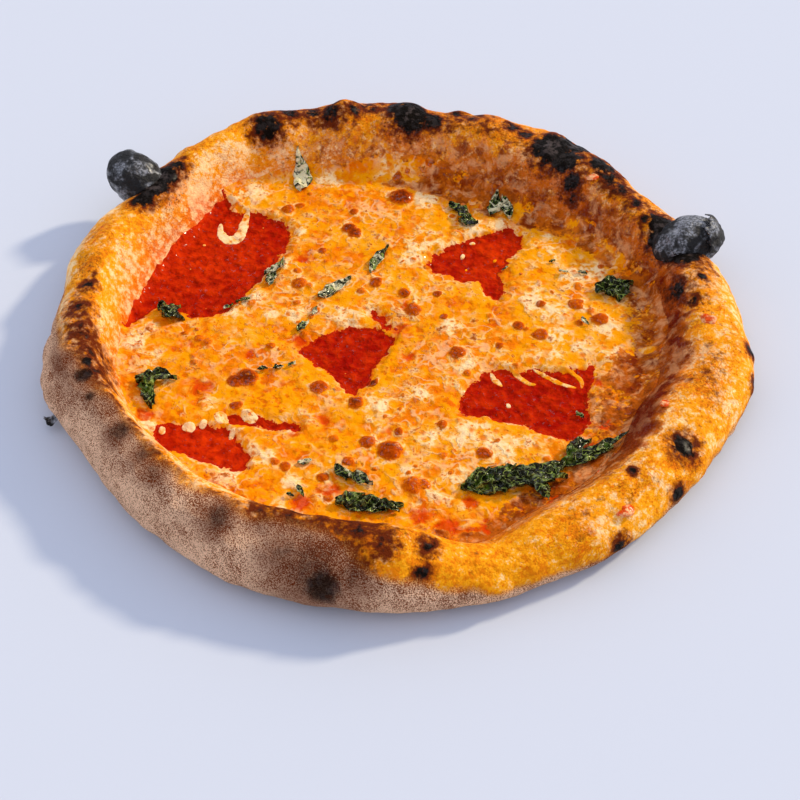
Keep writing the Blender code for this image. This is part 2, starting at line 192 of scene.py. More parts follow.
# Drips and cords of cheese on the bare sauce: points along them, then half the width
DRIPS = (
    (((-0.075, 0.092), (-0.0765, 0.085), (-0.0775, 0.077), (-0.0795, 0.0705), (-0.085, 0.07),
     (-0.088, 0.075), (-0.0885, 0.082)), 0.0029),
    (((-0.0795, 0.072), (-0.084, 0.069), (-0.0872, 0.0735)), 0.0024),
    (((-0.1135, -0.0545), (-0.1095, -0.056), (-0.106, -0.056)), 0.0028),
    (((-0.1045, -0.0575), (-0.1015, -0.0572)), 0.0022),
    (((-0.0945, -0.055), (-0.091, -0.056), (-0.0885, -0.0565)), 0.0024),
    (((-0.0865, -0.0535), (-0.084, -0.055)), 0.0022),
    (((-0.079, -0.048), (-0.0775, -0.0515), (-0.076, -0.0545)), 0.0031),
    (((-0.069, -0.048), (-0.065, -0.05), (-0.064, -0.053)), 0.0032),
    (((-0.0735, -0.06), (-0.071, -0.0605)), 0.0027), (((0.0305, 0.0572), (0.0325, 0.0565)), 0.0019),
    (((0.0364, 0.0678), (0.0368, 0.0655)), 0.0015), (((0.0465, 0.0545), (0.0478, 0.0535)), 0.0012),
    (((0.0325, 0.0482), (0.0335, 0.0478)), 0.0011), (((-0.096, 0.0662), (-0.0948, 0.0655)), 0.0009),
    (((0.048, -0.0425), (0.05, -0.0422)), 0.0015),
    (((0.042, -0.0222), (0.044, -0.0275), (0.0468, -0.0305)), 0.0014),
    (((0.05, -0.0195), (0.054, -0.024), (0.0585, -0.0285), (0.062, -0.0295)), 0.0012),
    (((0.061, -0.02), (0.067, -0.0245), (0.074, -0.0295), (0.08, -0.0315)), 0.0013),
    (((0.074, -0.02), (0.079, -0.0225), (0.0825, -0.0275), (0.0822, -0.032)), 0.0012),
)
# Blisters in the cheese that have browned: x, y, radius, darkness
BROWN_BLISTERS = (
    (0.0015, 0.0997, 0.0056, 1.0), (-0.024, 0.0755, 0.0036, 0.95), (-0.0215, 0.0722, 0.0032, 0.95),
    (0.0155, 0.1245, 0.003, 0.85), (0.0, 0.1142, 0.0022, 0.8), (-0.0552, 0.0902, 0.003, 0.6),
    (-0.0221, 0.0887, 0.0021, 0.65), (-0.0366, 0.0591, 0.0021, 0.7), (0.007, 0.0171, 0.004, 0.7),
    (0.0028, 0.0282, 0.0027, 0.85), (0.0185, 0.0282, 0.0019, 0.75), (-0.0472, 0.0352, 0.0036, 0.55),
    (0.0562, 0.0063, 0.0026, 0.8), (0.0269, -0.0114, 0.0038, 0.7), (-0.0034, -0.071, 0.0053, 0.8),
    (-0.0186, -0.0427, 0.0034, 0.9), (-0.0355, -0.033, 0.0036, 0.75), (-0.0112, -0.0298, 0.0022, 1.0),
    (0.0215, 0.0124, 0.0018, 0.7), (-0.0134, -0.0658, 0.0034, 0.65), (0.0004, -0.06, 0.0021, 0.6),
    (0.0192, -0.0559, 0.0026, 0.6), (0.0063, -0.0911, 0.0046, 0.45), (0.011, -0.09, 0.003, 0.45),
    (0.0368, -0.0733, 0.0033, 0.75), (0.0351, -0.0856, 0.0029, 0.7), (-0.0213, -0.0772, 0.0025, 0.6),
    (-0.048, -0.08, 0.0025, 0.55), (-0.0317, -0.0856, 0.0024, 0.55), (0.0941, 0.0103, 0.004, 0.65),
    (0.0838, 0.0206, 0.0036, 0.55), (0.0655, 0.0003, 0.0034, 0.6), (0.0673, 0.0206, 0.0021, 0.6),
    (0.0979, 0.0466, 0.0018, 0.6), (-0.068, -0.027, 0.0048, 1.0), (-0.0725, -0.029, 0.0036, 0.9),
    (-0.0715, -0.0445, 0.0026, 0.8), (-0.0105, 0.0359, 0.003, 0.7), (0.0165, 0.118, 0.0022, 0.6),
    (0.0467, -0.0069, 0.0019, 0.5), (-0.0586, -0.0069, 0.0022, 0.5), (-0.0493, 0.0934, 0.0022, 0.55),
)
SMALL_BLISTERS = 150
# Pale, thick places, wide oily places and thin, red-orange places in the cheese: x, y, radius
CREAM_PLACES = (
    (0.044, -0.07, 0.0125), (0.029, -0.0606, 0.008), (0.036, -0.058, 0.007), (0.045, -0.086, 0.005),
    (0.009, 0.06, 0.008), (0.016, 0.064, 0.008), (0.006, 0.052, 0.0045), (0.038, 0.0771, 0.0075),
    (0.05, 0.077, 0.0065), (0.072, 0.0575, 0.0085), (0.063, 0.025, 0.0085), (0.095, 0.044, 0.0085),
    (0.083, 0.04, 0.007), (0.072, 0.0165, 0.0075), (0.098, 0.006, 0.0085), (0.075, 0.0, 0.008),
    (0.082, -0.008, 0.005), (0.1, -0.013, 0.0065), (0.086, -0.046, 0.0045), (0.024, 0.006, 0.0065),
    (-0.0225, 0.012, 0.008), (-0.014, 0.018, 0.005), (-0.025, 0.036, 0.005), (-0.048, 0.014, 0.0055),
    (-0.06, 0.014, 0.0045), (-0.07, 0.023, 0.007), (-0.078, 0.0185, 0.007), (-0.0485, 0.074, 0.005),
    (-0.056, 0.05, 0.005), (-0.073, 0.103, 0.007), (-0.082, 0.098, 0.005), (-0.035, 0.112, 0.0065),
    (-0.008, 0.12, 0.005), (0.013, 0.099, 0.007), (-0.121, -0.004, 0.006), (-0.114, -0.016, 0.007),
    (-0.104, -0.028, 0.0045), (-0.083, -0.044, 0.004), (-0.071, -0.057, 0.006), (-0.055, -0.076, 0.0055),
    (-0.0614, -0.071, 0.005), (-0.0715, -0.083, 0.005), (-0.045, -0.09, 0.0045), (-0.025, -0.078, 0.0045),
    (-0.008, -0.046, 0.0055), (0.011, -0.037, 0.005), (0.014, -0.064, 0.005), (0.005, -0.084, 0.005),
    (0.026, -0.086, 0.0055), (0.03, -0.02, 0.006),
)
OILY_PLACES = (
    (-0.0665, -0.0212, 0.02), (-0.0329, 0.0537, 0.016), (0.0124, -0.0019, 0.017),
    (-0.0271, -0.0637, 0.012), (-0.0342, 0.0955, 0.013), (-0.095, -0.01, 0.015), (0.0251, -0.0429, 0.01),
    (-0.0449, -0.0019, 0.016),
)
THIN_PLACES = (
    (0.0009, 0.0063, 0.007), (-0.0061, 0.013, 0.005), (0.003, 0.019, 0.004), (0.005, -0.013, 0.005),
    (-0.032, -0.052, 0.006), (-0.046, -0.06, 0.004), (-0.088, -0.033, 0.008), (-0.067, -0.012, 0.0045),
    (-0.045, -0.0036, 0.005), (-0.112, -0.05, 0.006), (-0.115, -0.03, 0.004), (-0.079, -0.089, 0.0055),
    (-0.07, -0.096, 0.005), (-0.029, -0.093, 0.0065), (-0.0408, -0.0987, 0.006), (0.009, -0.106, 0.007),
    (0.021, -0.113, 0.009), (0.04, -0.115, 0.01), (0.03, -0.1, 0.005), (0.067, -0.098, 0.007),
    (0.082, -0.069, 0.006), (0.085, -0.086, 0.007), (0.0905, -0.0292, 0.005), (0.09, -0.054, 0.006),
    (-0.047, 0.054, 0.0045),
)
# Basil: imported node, how much melted cheese veils it, and its blades. A blade is its shift from the
# node's middle, bearing, length, width, how far it stands up, and how many pleats run along it
BASIL = (
    ('basil_front_right_long', 0.0, (((-0.004, -0.001), 8, 0.04, 0.012, 0.0008, 1.4),
     ((0.006, 0.004), 20, 0.032, 0.008, 0.0028, 1.2), ((-0.01, 0.001), 30, 0.022, 0.008, 0.003, 1.6),
     ((0.009, 0.0), 12, 0.026, 0.007, 0.004, 0.9), ((-0.013, -0.004), 352, 0.018, 0.005, 0.0012, 0.8),
     ((-0.018, -0.003), 305, 0.011, 0.004, 0.0014, 0.7),
     ((0.01, -0.006), 292, 0.012, 0.006, 0.0026, 0.8), ((0.004, 0.002), 340, 0.013, 0.006, 0.0046, 1.2),
     ((0.016, 0.004), 40, 0.012, 0.005, 0.0036, 1.0))),
    ('basil_front_right_tip', 0.0, (((-0.004, -0.002), 22, 0.026, 0.007, 0.0014, 1.2),
     ((-0.006, 0.003), 40, 0.014, 0.006, 0.0024, 1.1), ((0.002, 0.002), 30, 0.022, 0.0045, 0.0026, 0.8),
     ((0.009, 0.005), 36, 0.016, 0.0024, 0.002, 0.5))),
    ('basil_front', 0.0, (((0.0, 0.0), 354, 0.028, 0.0085, 0.001, 1.2),
     ((-0.008, 0.002), 20, 0.013, 0.006, 0.0022, 1.0),
     ((0.006, -0.002), 340, 0.014, 0.0055, 0.002, 1.3))),
    ('basil_left', 0.0, (((-0.002, 0.002), 300, 0.015, 0.007, 0.001, 1.0),
     ((0.0, -0.004), 285, 0.014, 0.006, 0.0014, 0.9), ((0.002, 0.006), 5, 0.018, 0.0065, 0.0018, 1.1),
     ((-0.003, 0.005), 330, 0.01, 0.005, 0.0024, 1.0))),
    ('basil_back_left', 0.0, (((-0.002, 0.002), 320, 0.011, 0.0075, 0.0014, 1.2),
     ((0.001, -0.002), 350, 0.011, 0.006, 0.002, 1.0), ((0.001, 0.002), 60, 0.009, 0.0055, 0.0024, 1.1))),
    ('basil_bay', 0.3, (((0.0, 0.004), 50, 0.014, 0.005, 0.0008, 1.0),
     ((-0.001, -0.004), 80, 0.01, 0.005, 0.0006, 1.0), ((0.001, 0.002), 20, 0.009, 0.0035, 0.0012, 1.0))),
    ('basil_centre', 0.5, (((0.0, 0.0), 40, 0.02, 0.007, 0.0002, 1.0),
     ((-0.002, -0.001), 60, 0.012, 0.005, 0.0006, 1.0))),
    ('basil_centre_back', 0.45, (((0.0, 0.0), 66, 0.021, 0.005, 0.0003, 1.0),)),
    ('basil_back', 0.1, (((-0.001, 0.004), 318, 0.015, 0.0055, 0.001, 1.0),
     ((0.003, -0.005), 345, 0.01, 0.0055, 0.001, 1.2), ((0.001, 0.0), 300, 0.01, 0.0045, 0.0016, 1.0))),
    ('basil_back_right', 0.4, (((-0.003, 0.001), 70, 0.013, 0.0065, 0.0006, 1.0),
     ((0.003, -0.001), 105, 0.012, 0.006, 0.0006, 1.0))),
    ('basil_right', 0.05, (((0.003, 0.001), 20, 0.014, 0.009, 0.002, 1.6),
     ((-0.004, -0.001), 320, 0.011, 0.008, 0.0014, 1.4),
     ((0.004, -0.002), 70, 0.011, 0.007, 0.0028, 1.3), ((0.0, 0.002), 350, 0.012, 0.006, 0.003, 1.0))),
    ('basil_back_wall', 0.72, (((0.0, 0.0), 94, 0.018, 0.009, 0.0002, 0.6),)),
    ('basil_front_left', 0.25, (((0.001, 0.0), 330, 0.015, 0.0055, 0.0006, 1.0),
     ((-0.006, 0.003), 300, 0.009, 0.004, 0.0008, 1.0))),
)
# Loose bits of basil: x, y, length, bearing
HERB_BITS = (
    (-0.0396, -0.0778, 0.006, 10), (0.087, 0.0083, 0.0055, 300), (0.0793, 0.0423, 0.0045, 330),
    (0.0885, 0.0415, 0.0045, 350), (-0.0389, 0.0151, 0.005, 70), (-0.044, 0.005, 0.008, 50),
    (-0.061, -0.0225, 0.0045, 0), (-0.054, -0.0215, 0.005, 20), (-0.048, -0.0195, 0.004, 40),
    (-0.0731, 0.0233, 0.007, 350), (-0.08, 0.02, 0.005, 20), (0.0517, 0.047, 0.003, 30),
    (-0.041, -0.094, 0.0055, 300), (-0.045, -0.096, 0.0035, 340), (0.0745, 0.0503, 0.003, 10),
    (0.08, -0.049, 0.005, 310), (-0.025, -0.0835, 0.005, 320),
)
# Bits of tomato baked onto the rim: bearing, way, size
TOMATO_BITS = (
    (308.5, 0.62, 0.0034), (356.5, 1.0, 0.0036), (43.0, 1.12, 0.0027), (333.0, 1.22, 0.0024),
)
# The charred crumb that sticks out of the rim's foot: place, bearing, length
CHAR_CRUMB = ((-0.1530, -0.0500, 0.0040), 200, 0.0058)

TAU = math.tau
LEAF_CLEARANCE = 0.0005
LEAF_THICKNESS = 0.00028
RAY_START = 0.1
UP = Vector((0, 0, 1))
DOWN = Vector((0, 0, -1))


def srgb(red, green, blue):
    """A colour given in steps of 0 to 255, as the linear values that shaders use."""
    return tuple(((step / 255 + 0.055) / 1.055) ** 2.4 for step in (red, green, blue))


def colour(name, description, red, green, blue):
    return FloatVectorProperty(
        name=name, description=description, subtype="COLOR", size=3, min=0, max=1,
        default=srgb(red, green, blue),
    )


class PizzaDough(bpy.types.PropertyGroup):
    """Facets and colours of the baked dough."""

    segments: IntProperty(name="Segments", description="Facets round the rim", default=720, min=90)
    cream: colour("Cream", "Pale dough between the browned places", 255, 212, 150)
    golden: colour("Golden", "Oiled and lightly browned dough", 248, 160, 18)
    amber: colour("Amber", "Well browned dough", 206, 92, 4)
    toast: colour("Toast", "Dough next to a burnt place", 100, 36, 9)
    char: colour("Char", "Burnt dough", 15, 11, 10)
    flour: colour("Flour", "Grains of semolina on the outside", 255, 206, 166)
    rind: colour("Rind", "Toasted outside under the semolina", 132, 66, 32)
    stain: colour("Stain", "Dough soaked with red oil", 220, 74, 8)
    gravy: colour("Gravy", "Inner wall under a little oil", 214, 112, 22)
    # Soaked and dregs also carry painted shade, on the inner wall where it lies in shade
    soaked: colour("Soaked", "Inner wall soaked with amber oil", 172, 78, 8)
    dregs_and_shade: colour("Dregs", "Red oil at the bottom of the wall", 104, 16, 1)
    film: colour("Film", "Thin melted cheese on the inner wall", 228, 160, 104)


class PizzaSauce(bpy.types.PropertyGroup):
    """Facets and colours of the tomato sauce."""

    cuts: IntProperty(name="Cuts", description="Facets across the sauce", default=240, min=40)
    deep: colour("Deep", "Sauce where it is thick", 156, 14, 1)
    bright: colour("Bright", "Sauce where it is thin", 206, 50, 2)


class PizzaCheese(bpy.types.PropertyGroup):
    """Facets and colours of the melted cheese."""

    cuts: IntProperty(name="Cuts", description="Facets across the cheese", default=296, min=40)
    thickness: FloatProperty(
        name="Thickness", description="Height over the sauce", default=CHEESE_TOP - SAUCE_TOP,
        min=0.0005, max=0.01, subtype="DISTANCE", unit="LENGTH",
    )
    curd: colour("Curd", "Thick pale cheese", 247, 210, 156)
    cream: colour("Cream", "Cheese tinted with oil", 242, 170, 58)
    amber: colour("Amber", "Cheese under yellow oil", 240, 148, 0)
    orange: colour("Orange", "Cheese under red oil", 226, 114, 0)
    deep: colour("Deep", "Oil in the hollows", 204, 74, 1)
    red: colour("Red", "Cheese so thin that sauce shows", 200, 44, 2)
    hollow: colour("Hollow", "Oil standing in a crater", 220, 108, 2)
    blister: colour("Blister", "Browned cheese", 180, 68, 2)
    scorch: colour("Scorch", "Darkest middle of a blister", 88, 26, 3)


class PizzaBasil(bpy.types.PropertyGroup):
    """Colours of the basil."""

    dark: colour("Dark", "Wilted leaf", 11, 14, 3)
    green: colour("Green", "Fresher parts of a leaf", 66, 92, 8)
    vein: colour("Vein", "Ribs and curled edges", 150, 166, 74)
    veil: colour("Veil", "Melted cheese over a leaf", 238, 226, 180)


class PizzaStage(bpy.types.PropertyGroup):
    """Floor, lights and camera."""

    floor: colour("Floor", "Table top", 199, 203, 214)
    sky: colour("Sky", "Soft light from all round", 205, 212, 230)
    sky_strength: FloatProperty(name="Sky strength", description="Brightness all round", default=1.28)
    key: colour("Key", "Light from the back right", 255, 240, 208)
    key_strength: FloatProperty(name="Key strength", description="Its brightness", default=2.85)
    key_angle: FloatProperty(
        name="Key angle", description="How wide it looks from the table", subtype="ANGLE", unit="ROTATION",
        default=math.radians(6),
    )
    lens: FloatProperty(
        name="Lens", description="Focal length", default=70, subtype="DISTANCE_CAMERA", unit="CAMERA",
    )


# ---------------------------------------------------------------------------------------------
# Shader nodes


class Web:
    """The nodes of a material or a node group, with a short method for each kind."""

    def __init__(self, tree):
        self.tree = tree
        tree.nodes.clear()

    def node(self, kind, **settings):
        made = self.tree.nodes.new(kind)
        for name, value in settings.items():
            setattr(made, name, value)
        return made

    def feed(self, socket, value):
        """Links an output to a socket, or sets the socket's own value."""
        if isinstance(value, bpy.types.NodeSocket):
            self.tree.links.new(value, socket)
        elif socket.type == "RGBA":
            socket.default_value = (*value, 1)
        else:
            socket.default_value = value

    def coordinates(self):
        return self.node("ShaderNodeTexCoord").outputs["Object"]

    def attribute(self, name):
        return self.node("ShaderNodeAttribute", attribute_name=name).outputs["Fac"]

    def sum(self, operation, first, second=0.0, third=0.0):
        made = self.node("ShaderNodeMath", operation=operation)
        for socket, value in zip(made.inputs, (first, second, third)):
            self.feed(socket, value)
        return made.outputs[0]

    def rise(self, value, low, high):
        """0 below low and 1 above high, smooth between them. Low may be above high."""
        made = self.node("ShaderNodeMapRange", interpolation_type="SMOOTHSTEP")
        for name, part in (("Value", value), ("From Min", low), ("From Max", high)):
            self.feed(made.inputs[name], part)
        return made.outputs["Result"]

    def mix(self, mask, first, second):
        made = self.node("ShaderNodeMix", data_type="RGBA")
        for socket, value in ((made.inputs[0], mask), (made.inputs[6], first), (made.inputs[7], second)):
            self.feed(socket, value)
        return made.outputs[2]

    def noise(self, vector, scale, detail=2.0, roughness=0.5, distortion=0.0):
        made = self.node("ShaderNodeTexNoise")
        parts = (("Vector", vector), ("Scale", scale), ("Detail", detail),
                 ("Roughness", roughness), ("Distortion", distortion))
        for name, value in parts:
            self.feed(made.inputs[name], value)
        return made.outputs["Fac"]

    def lines(self, vector, scale, width, distortion=0.8):
        """Thin soft lines that wander and close, where a noise crosses its middle."""
        wave = self.noise(vector, scale, 2.0, 0.5, distortion)
        return self.rise(self.sum("ABSOLUTE", self.sum("SUBTRACT", wave, 0.5)), width, 0.2 * width)

    def group(self, tree, **values):
        made = self.node("ShaderNodeGroup", node_tree=tree)
        for name, value in values.items():
            self.feed(made.inputs[name], value)
        return made.outputs

    def bump(self, height, distance, normal=None):
        made = self.node("ShaderNodeBump")
        made.inputs["Strength"].default_value = 1.0
        made.inputs["Distance"].default_value = distance
        self.feed(made.inputs["Height"], height)
        if normal is not None:
            self.feed(made.inputs["Normal"], normal)
        return made.outputs["Normal"]

    def surface(self, shader_values):
        shader = self.node("ShaderNodeBsdfPrincipled")
        for name, value in shader_values.items():
            self.feed(shader.inputs[name], value)
        output = self.node("ShaderNodeOutputMaterial")
        self.tree.links.new(shader.outputs["BSDF"], output.inputs["Surface"])


def new_group(name, inputs, *outputs):
    """An empty node group with value inputs, a Vector input and its outputs, and its web of nodes."""
    tree = bpy.data.node_groups.new(name, "ShaderNodeTree")
    tree.interface.new_socket("Vector", in_out="INPUT", socket_type="NodeSocketVector")
    for label, value in inputs.items():
        socket = tree.interface.new_socket(label, in_out="INPUT", socket_type="NodeSocketFloat")
        socket.default_value = value
    for label in outputs:
        tree.interface.new_socket(label, in_out="OUTPUT", socket_type="NodeSocketFloat")
    web = Web(tree)
    return tree, web, web.node("NodeGroupInput").outputs, web.node("NodeGroupOutput").inputs


def shared(name, build):
    """The node group of that name, built the first time it is asked for."""
    return bpy.data.node_groups.get(name) or build(name)


def build_blotches(name):
    """Uneven patches: the mask is 1 where the warped noise is above High, 0 below Low."""
    tree, web, given, result = new_group(name, {"Scale": 200.0, "Low": 0.45, "High": 0.6}, "Mask")
    broad = web.noise(given["Vector"], given["Scale"], 3.0, 0.55, 0.6)
    finer = web.noise(given["Vector"], web.sum("MULTIPLY", given["Scale"], 2.7), 2.0, 0.5, 0.2)
    both = web.sum("MULTIPLY_ADD", finer, 0.35, web.sum("MULTIPLY", broad, 0.65))
    web.feed(result[0], web.rise(both, given["Low"], given["High"]))
    return tree


def build_specks(name):
    """Round specks: a share of the cells each hold one, of the given size in cells, with rim and halo."""
    sizes = {"Scale": 500.0, "Size": 0.3, "Share": 0.3}
    tree, web, given, result = new_group(name, sizes, "Mask", "Rim", "Halo")
    wobble = web.node("ShaderNodeTexNoise")
    web.feed(wobble.inputs["Vector"], given["Vector"])
    web.feed(wobble.inputs["Scale"], web.sum("MULTIPLY", given["Scale"], 1.8))
    push = web.node("ShaderNodeVectorMath", operation="MULTIPLY_ADD")
    web.feed(push.inputs[0], wobble.outputs["Color"])
    web.feed(push.inputs[1], (0.0013, 0.0013, 0.0013))
    web.feed(push.inputs[2], given["Vector"])
    cells = web.node("ShaderNodeTexVoronoi")
    web.feed(cells.inputs["Vector"], push.outputs[0])
    web.feed(cells.inputs["Scale"], given["Scale"])
    split = web.node("ShaderNodeSeparateColor")
    web.feed(split.inputs[0], cells.outputs["Color"])
    size = web.sum("MULTIPLY", given["Size"], web.sum("MULTIPLY_ADD", split.outputs[1], 0.6, 0.5))
    away = web.sum("DIVIDE", cells.outputs["Distance"], size)
    chosen = web.sum("LESS_THAN", split.outputs[0], given["Share"])
    rim = web.sum("MULTIPLY", web.rise(away, 0.60, 0.85), web.rise(away, 1.15, 0.90))
    for socket, shape in zip(result, (web.rise(away, 1.0, 0.45), rim, web.rise(away, 1.75, 1.05))):
        web.feed(socket, web.sum("MULTIPLY", shape, chosen))
    return tree


def build_smears(name):
    """What lies on the inner wall where cheese, oil and sauce have been smeared: three masks."""
    tree, web, given, result = new_group(name, {}, "Brown", "Red", "Pale")
    at = given["Vector"]
    web.feed(result[0], web.rise(web.noise(at, 230.0, 5.0, 0.66), 0.42, 0.64))
    web.feed(result[1], web.rise(web.noise(at, 88.0, 4.0, 0.58), 0.50, 0.62))
    web.feed(result[2], web.rise(web.noise(at, 150.0, 4.0, 0.62, 0.5), 0.47, 0.67))
    return tree


def build_relief(name):
    """Fine unevenness for bump: coarse and fine waves and the share of the fine ones."""
    tree, web, given, result = new_group(name, {"Coarse": 300.0, "Fine": 900.0, "Share": 0.4}, "Height")
    coarse = web.noise(given["Vector"], given["Coarse"], 2.0)
    fine = web.noise(given["Vector"], given["Fine"], 3.0, 0.6)
    kept = web.sum("MULTIPLY", coarse, web.sum("SUBTRACT", 1.0, given["Share"]))
    web.feed(result[0], web.sum("MULTIPLY_ADD", fine, given["Share"], kept))
    return tree


def blotches(web, vector, scale, low, high):
    return web.group(
        shared("uneven_blotches", build_blotches), Vector=vector, Scale=scale, Low=low, High=high)[0]


def craters(web, vector, scale, size, share):
    """The fill, the rim and the halo of round specks."""
    return web.group(
        shared("round_specks", build_specks), Vector=vector, Scale=scale, Size=size, Share=share)


def specks(web, vector, scale, size, share):
    return craters(web, vector, scale, size, share)[0]


def relief(web, vector, coarse, fine, share):
    return web.group(
        shared("fine_relief", build_relief), Vector=vector, Coarse=coarse, Fine=fine, Share=share)[0]


def smeared(web, vector, wall, depth):
    """The colour of the smeared inner wall, from amber where depth is low to brown and dark red where it is high,
    depth standing for oil and for painted shade both.
    """
    brown, red, pale = web.group(shared("wall_smears", build_smears), Vector=vector)
    oil = web.mix(web.rise(depth, 0.45, 0.95), wall.gravy, wall.soaked)
    stained = web.mix(web.sum("MULTIPLY", brown, 0.60), oil, wall.toast)
    # Dark red dregs that grow with depth: oil at the wall's foot and painted shade both
    bloody = web.sum(
        "MULTIPLY_ADD", red, web.sum("MULTIPLY_ADD", depth, 1.1, -0.15), web.rise(depth, 0.85, 1.45))
    stained = web.mix(web.sum("MINIMUM", bloody, 0.95), stained, wall.dregs_and_shade)
    return web.mix(
        web.sum("MULTIPLY", pale, web.sum("MULTIPLY_ADD", depth, -0.75, 1.25)), stained, wall.film)


def new_material(name):
    material = bpy.data.materials.new(name)
    material.use_nodes = True
    return material, Web(material.node_tree)


# ---------------------------------------------------------------------------------------------
# Shapes


def smooth(value, low, high):
    """0 below low and 1 above high, smooth between them. Low may be above high."""
    share = min(1.0, max(0.0, (value - low) / (high - low)))
    return share * share * (3 - 2 * share)


def soft_max(first, second, reach):
    """The larger of two heights, with a fillet where they meet."""
    share = max(0.0, 1 - abs(first - second) / reach)
    return max(first, second) + reach * share * share / 4


def lobed(bearing, base, lobes, power=2):
    """The base value with every lobe's share at this bearing, in degrees, added."""
    total = base
    for centre, spread, amount in lobes:
        away = abs((bearing - centre + 180) % 360 - 180)
        total += amount * math.exp(-((away / spread) ** power))
    return total


def waves(point, *pairs):
    """Smooth noise at several wave lengths, each with its amount."""
    return sum(amount * noise.noise(point / wave) for wave, amount in pairs)


def bearing_of(x, y):
    return math.degrees(math.atan2(y, x)) % 360


class Slice:
    """The rim's section at one bearing."""

    def __init__(self, bearing):
        self.bearing = bearing
        self.outer = lobed(bearing, OUTER_RADIUS, OUTER_LOBES)
        self.toe = lobed(bearing, TOE_RADIUS, TOE_LOBES)
        self.height = lobed(bearing, RIM_HEIGHT, HEIGHT_LOBES)
        self.crest = self.toe + lobed(bearing, CREST_SHARE, CREST_LOBES) * (self.outer - self.toe)
        self.belly = BELLY_SHARE * self.height
        turn = math.radians(bearing)
        self.outward = Vector((math.cos(turn), math.sin(turn), 0))
        self.core = self.outward * self.crest + UP * self.belly

    def wall_height(self, radius):
        share = min(1.0, max(0.0, (radius - self.toe) / (self.crest - self.toe)))
        rise = math.sin(share * math.pi / 2) ** WALL_STEEPNESS
        return DOUGH_THICKNESS + (self.height - DOUGH_THICKNESS) * rise

    def wall_radius(self, height):
        rise = min(1.0, (height - DOUGH_THICKNESS) / (self.height - DOUGH_THICKNESS))
        share = math.asin(rise ** (1 / WALL_STEEPNESS)) * 2 / math.pi
        return self.toe + share * (self.crest - self.toe)

    def plain_point(self, way):
        if way <= 0:
            turn = (way + 1) * math.pi / 2
            radius = self.outer - FOOT_INSET * (1 - math.sin(turn))
            height = self.belly * (1 - math.cos(turn))
        elif way <= 1:
            turn = way * math.pi / 2
            radius = self.crest + (self.outer - self.crest) * math.cos(turn)
            height = self.belly + (self.height - self.belly) * math.sin(turn)
        else:
            radius = self.crest + (self.toe - self.crest) * (way - 1)
            height = self.wall_height(radius)
        return self.outward * radius + UP * height


@lru_cache(maxsize=None)
def slice_at(bearing):
    return Slice(bearing)


@lru_cache(maxsize=None)
def rim_place(bearing, way):
    """The plain surface's point at a place on the rim."""
    return slice_at(bearing).plain_point(way)


def bubble_rise(point, cell, share, rise):
    """Domes of one size, one in each chosen cell of space."""
    distances, centres = noise.voronoi(point / cell)
    chosen = noise.cell(centres[0] * 7.3 + Vector((3.1, 1.7, 9.2)))
    if abs(chosen) > share:
        return 0.0
    return rise * smooth(distances[0], 0.52, 0.08)


def rim_lump(way, point):
    """How far the dough stands proud of the plain section: nothing at the foot and the toe."""
    fade = math.sin(math.pi * (way + 1) / 3) * min(1, 2 * (2 - way))
    lump = waves(point, *LUMPS)
    for centre, share, radius, rise in RIM_BLISTERS:
        away = (point - rim_place(centre, share)).length
        lump += rise * math.exp(-((away / radius) ** 2))
    bearing = bearing_of(point.x, point.y)
    for centre, spread, middle, rise in FOLDS:
        away = abs((bearing - centre + 180) % 360 - 180) / spread
        if away < 3:
            lump += rise * math.exp(-away * away - ((way - middle) / FOLD_REACH) ** 2)
    lump += waves(point + Vector((0.3, 0.1, 0.2)), *FINE_LUMPS)
    for cell, share, rise in BUBBLES:
        lump += bubble_rise(point, cell, share, rise)
    return fade * lump


def finished(bm, name, material, replaced=()):
    """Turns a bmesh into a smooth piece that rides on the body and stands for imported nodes."""
    mesh = bpy.data.meshes.new(name)
    bm.to_mesh(mesh)
    bm.free()
    mesh.shade_smooth()
    mesh.materials.append(material)
    piece = bpy.data.objects.new(name, mesh)
    bpy.context.scene.collection.objects.link(piece)
    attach(piece, BODY)
    if replaced:
        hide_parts(*replaced)
    return piece


def surface_of(*names):
    """The shapes of finished pieces, to lay others on."""
    graph = bpy.context.evaluated_depsgraph_get()
    return [BVHTree.FromObject(bpy.data.objects[name], graph) for name in names]


def top_of(trees, x, y):
    """The highest point of those shapes at a place, or the floor's height."""
    hits = (tree.ray_cast(Vector((x, y, RAY_START)), DOWN)[0] for tree in trees)
    return max((hit.z for hit in hits if hit is not None), default=0.0)


def disc(cuts, radius_at):
    """A grid squeezed into a disc whose edge follows a radius for each bearing, closed below later."""
    bm = bmesh.new()
    bmesh.ops.create_grid(bm, x_segments=cuts, y_segments=cuts, size=1)
    for vertex in bm.verts:
        x, y = vertex.co.x, vertex.co.y
        flat = Vector((x * math.sqrt(1 - y * y / 2), y * math.sqrt(1 - x * x / 2)))
        reach = radius_at(bearing_of(flat.x, flat.y))
        vertex.co = (flat.x * reach, flat.y * reach, 0)
    return bm


def close_below(bm, bottom):
    """Draws the open edge down to a flat underside and fills it."""
    rim = [edge for edge in bm.edges if edge.is_boundary]
    drawn = bmesh.ops.extrude_edge_only(bm, edges=rim)["geom"]
    lowered = [part for part in drawn if isinstance(part, bmesh.types.BMVert)]
    for vertex in lowered:
        vertex.co.z = bottom
    edges = [part for part in drawn if isinstance(part, bmesh.types.BMEdge)]
    bmesh.ops.holes_fill(bm, edges=edges, sides=0)
    bmesh.ops.recalc_face_normals(bm, faces=bm.faces)


# ---------------------------------------------------------------------------------------------
# Dough

UNDER_RINGS = 8
FOOT_STEPS, BELLY_STEPS, WALL_STEPS = 18, 48, 50
FLOOR_INSET = 0.012
DOUGH_LAYERS = ("char", "toast", "flour", "foot", "stain", "gold", "soak_and_shade")


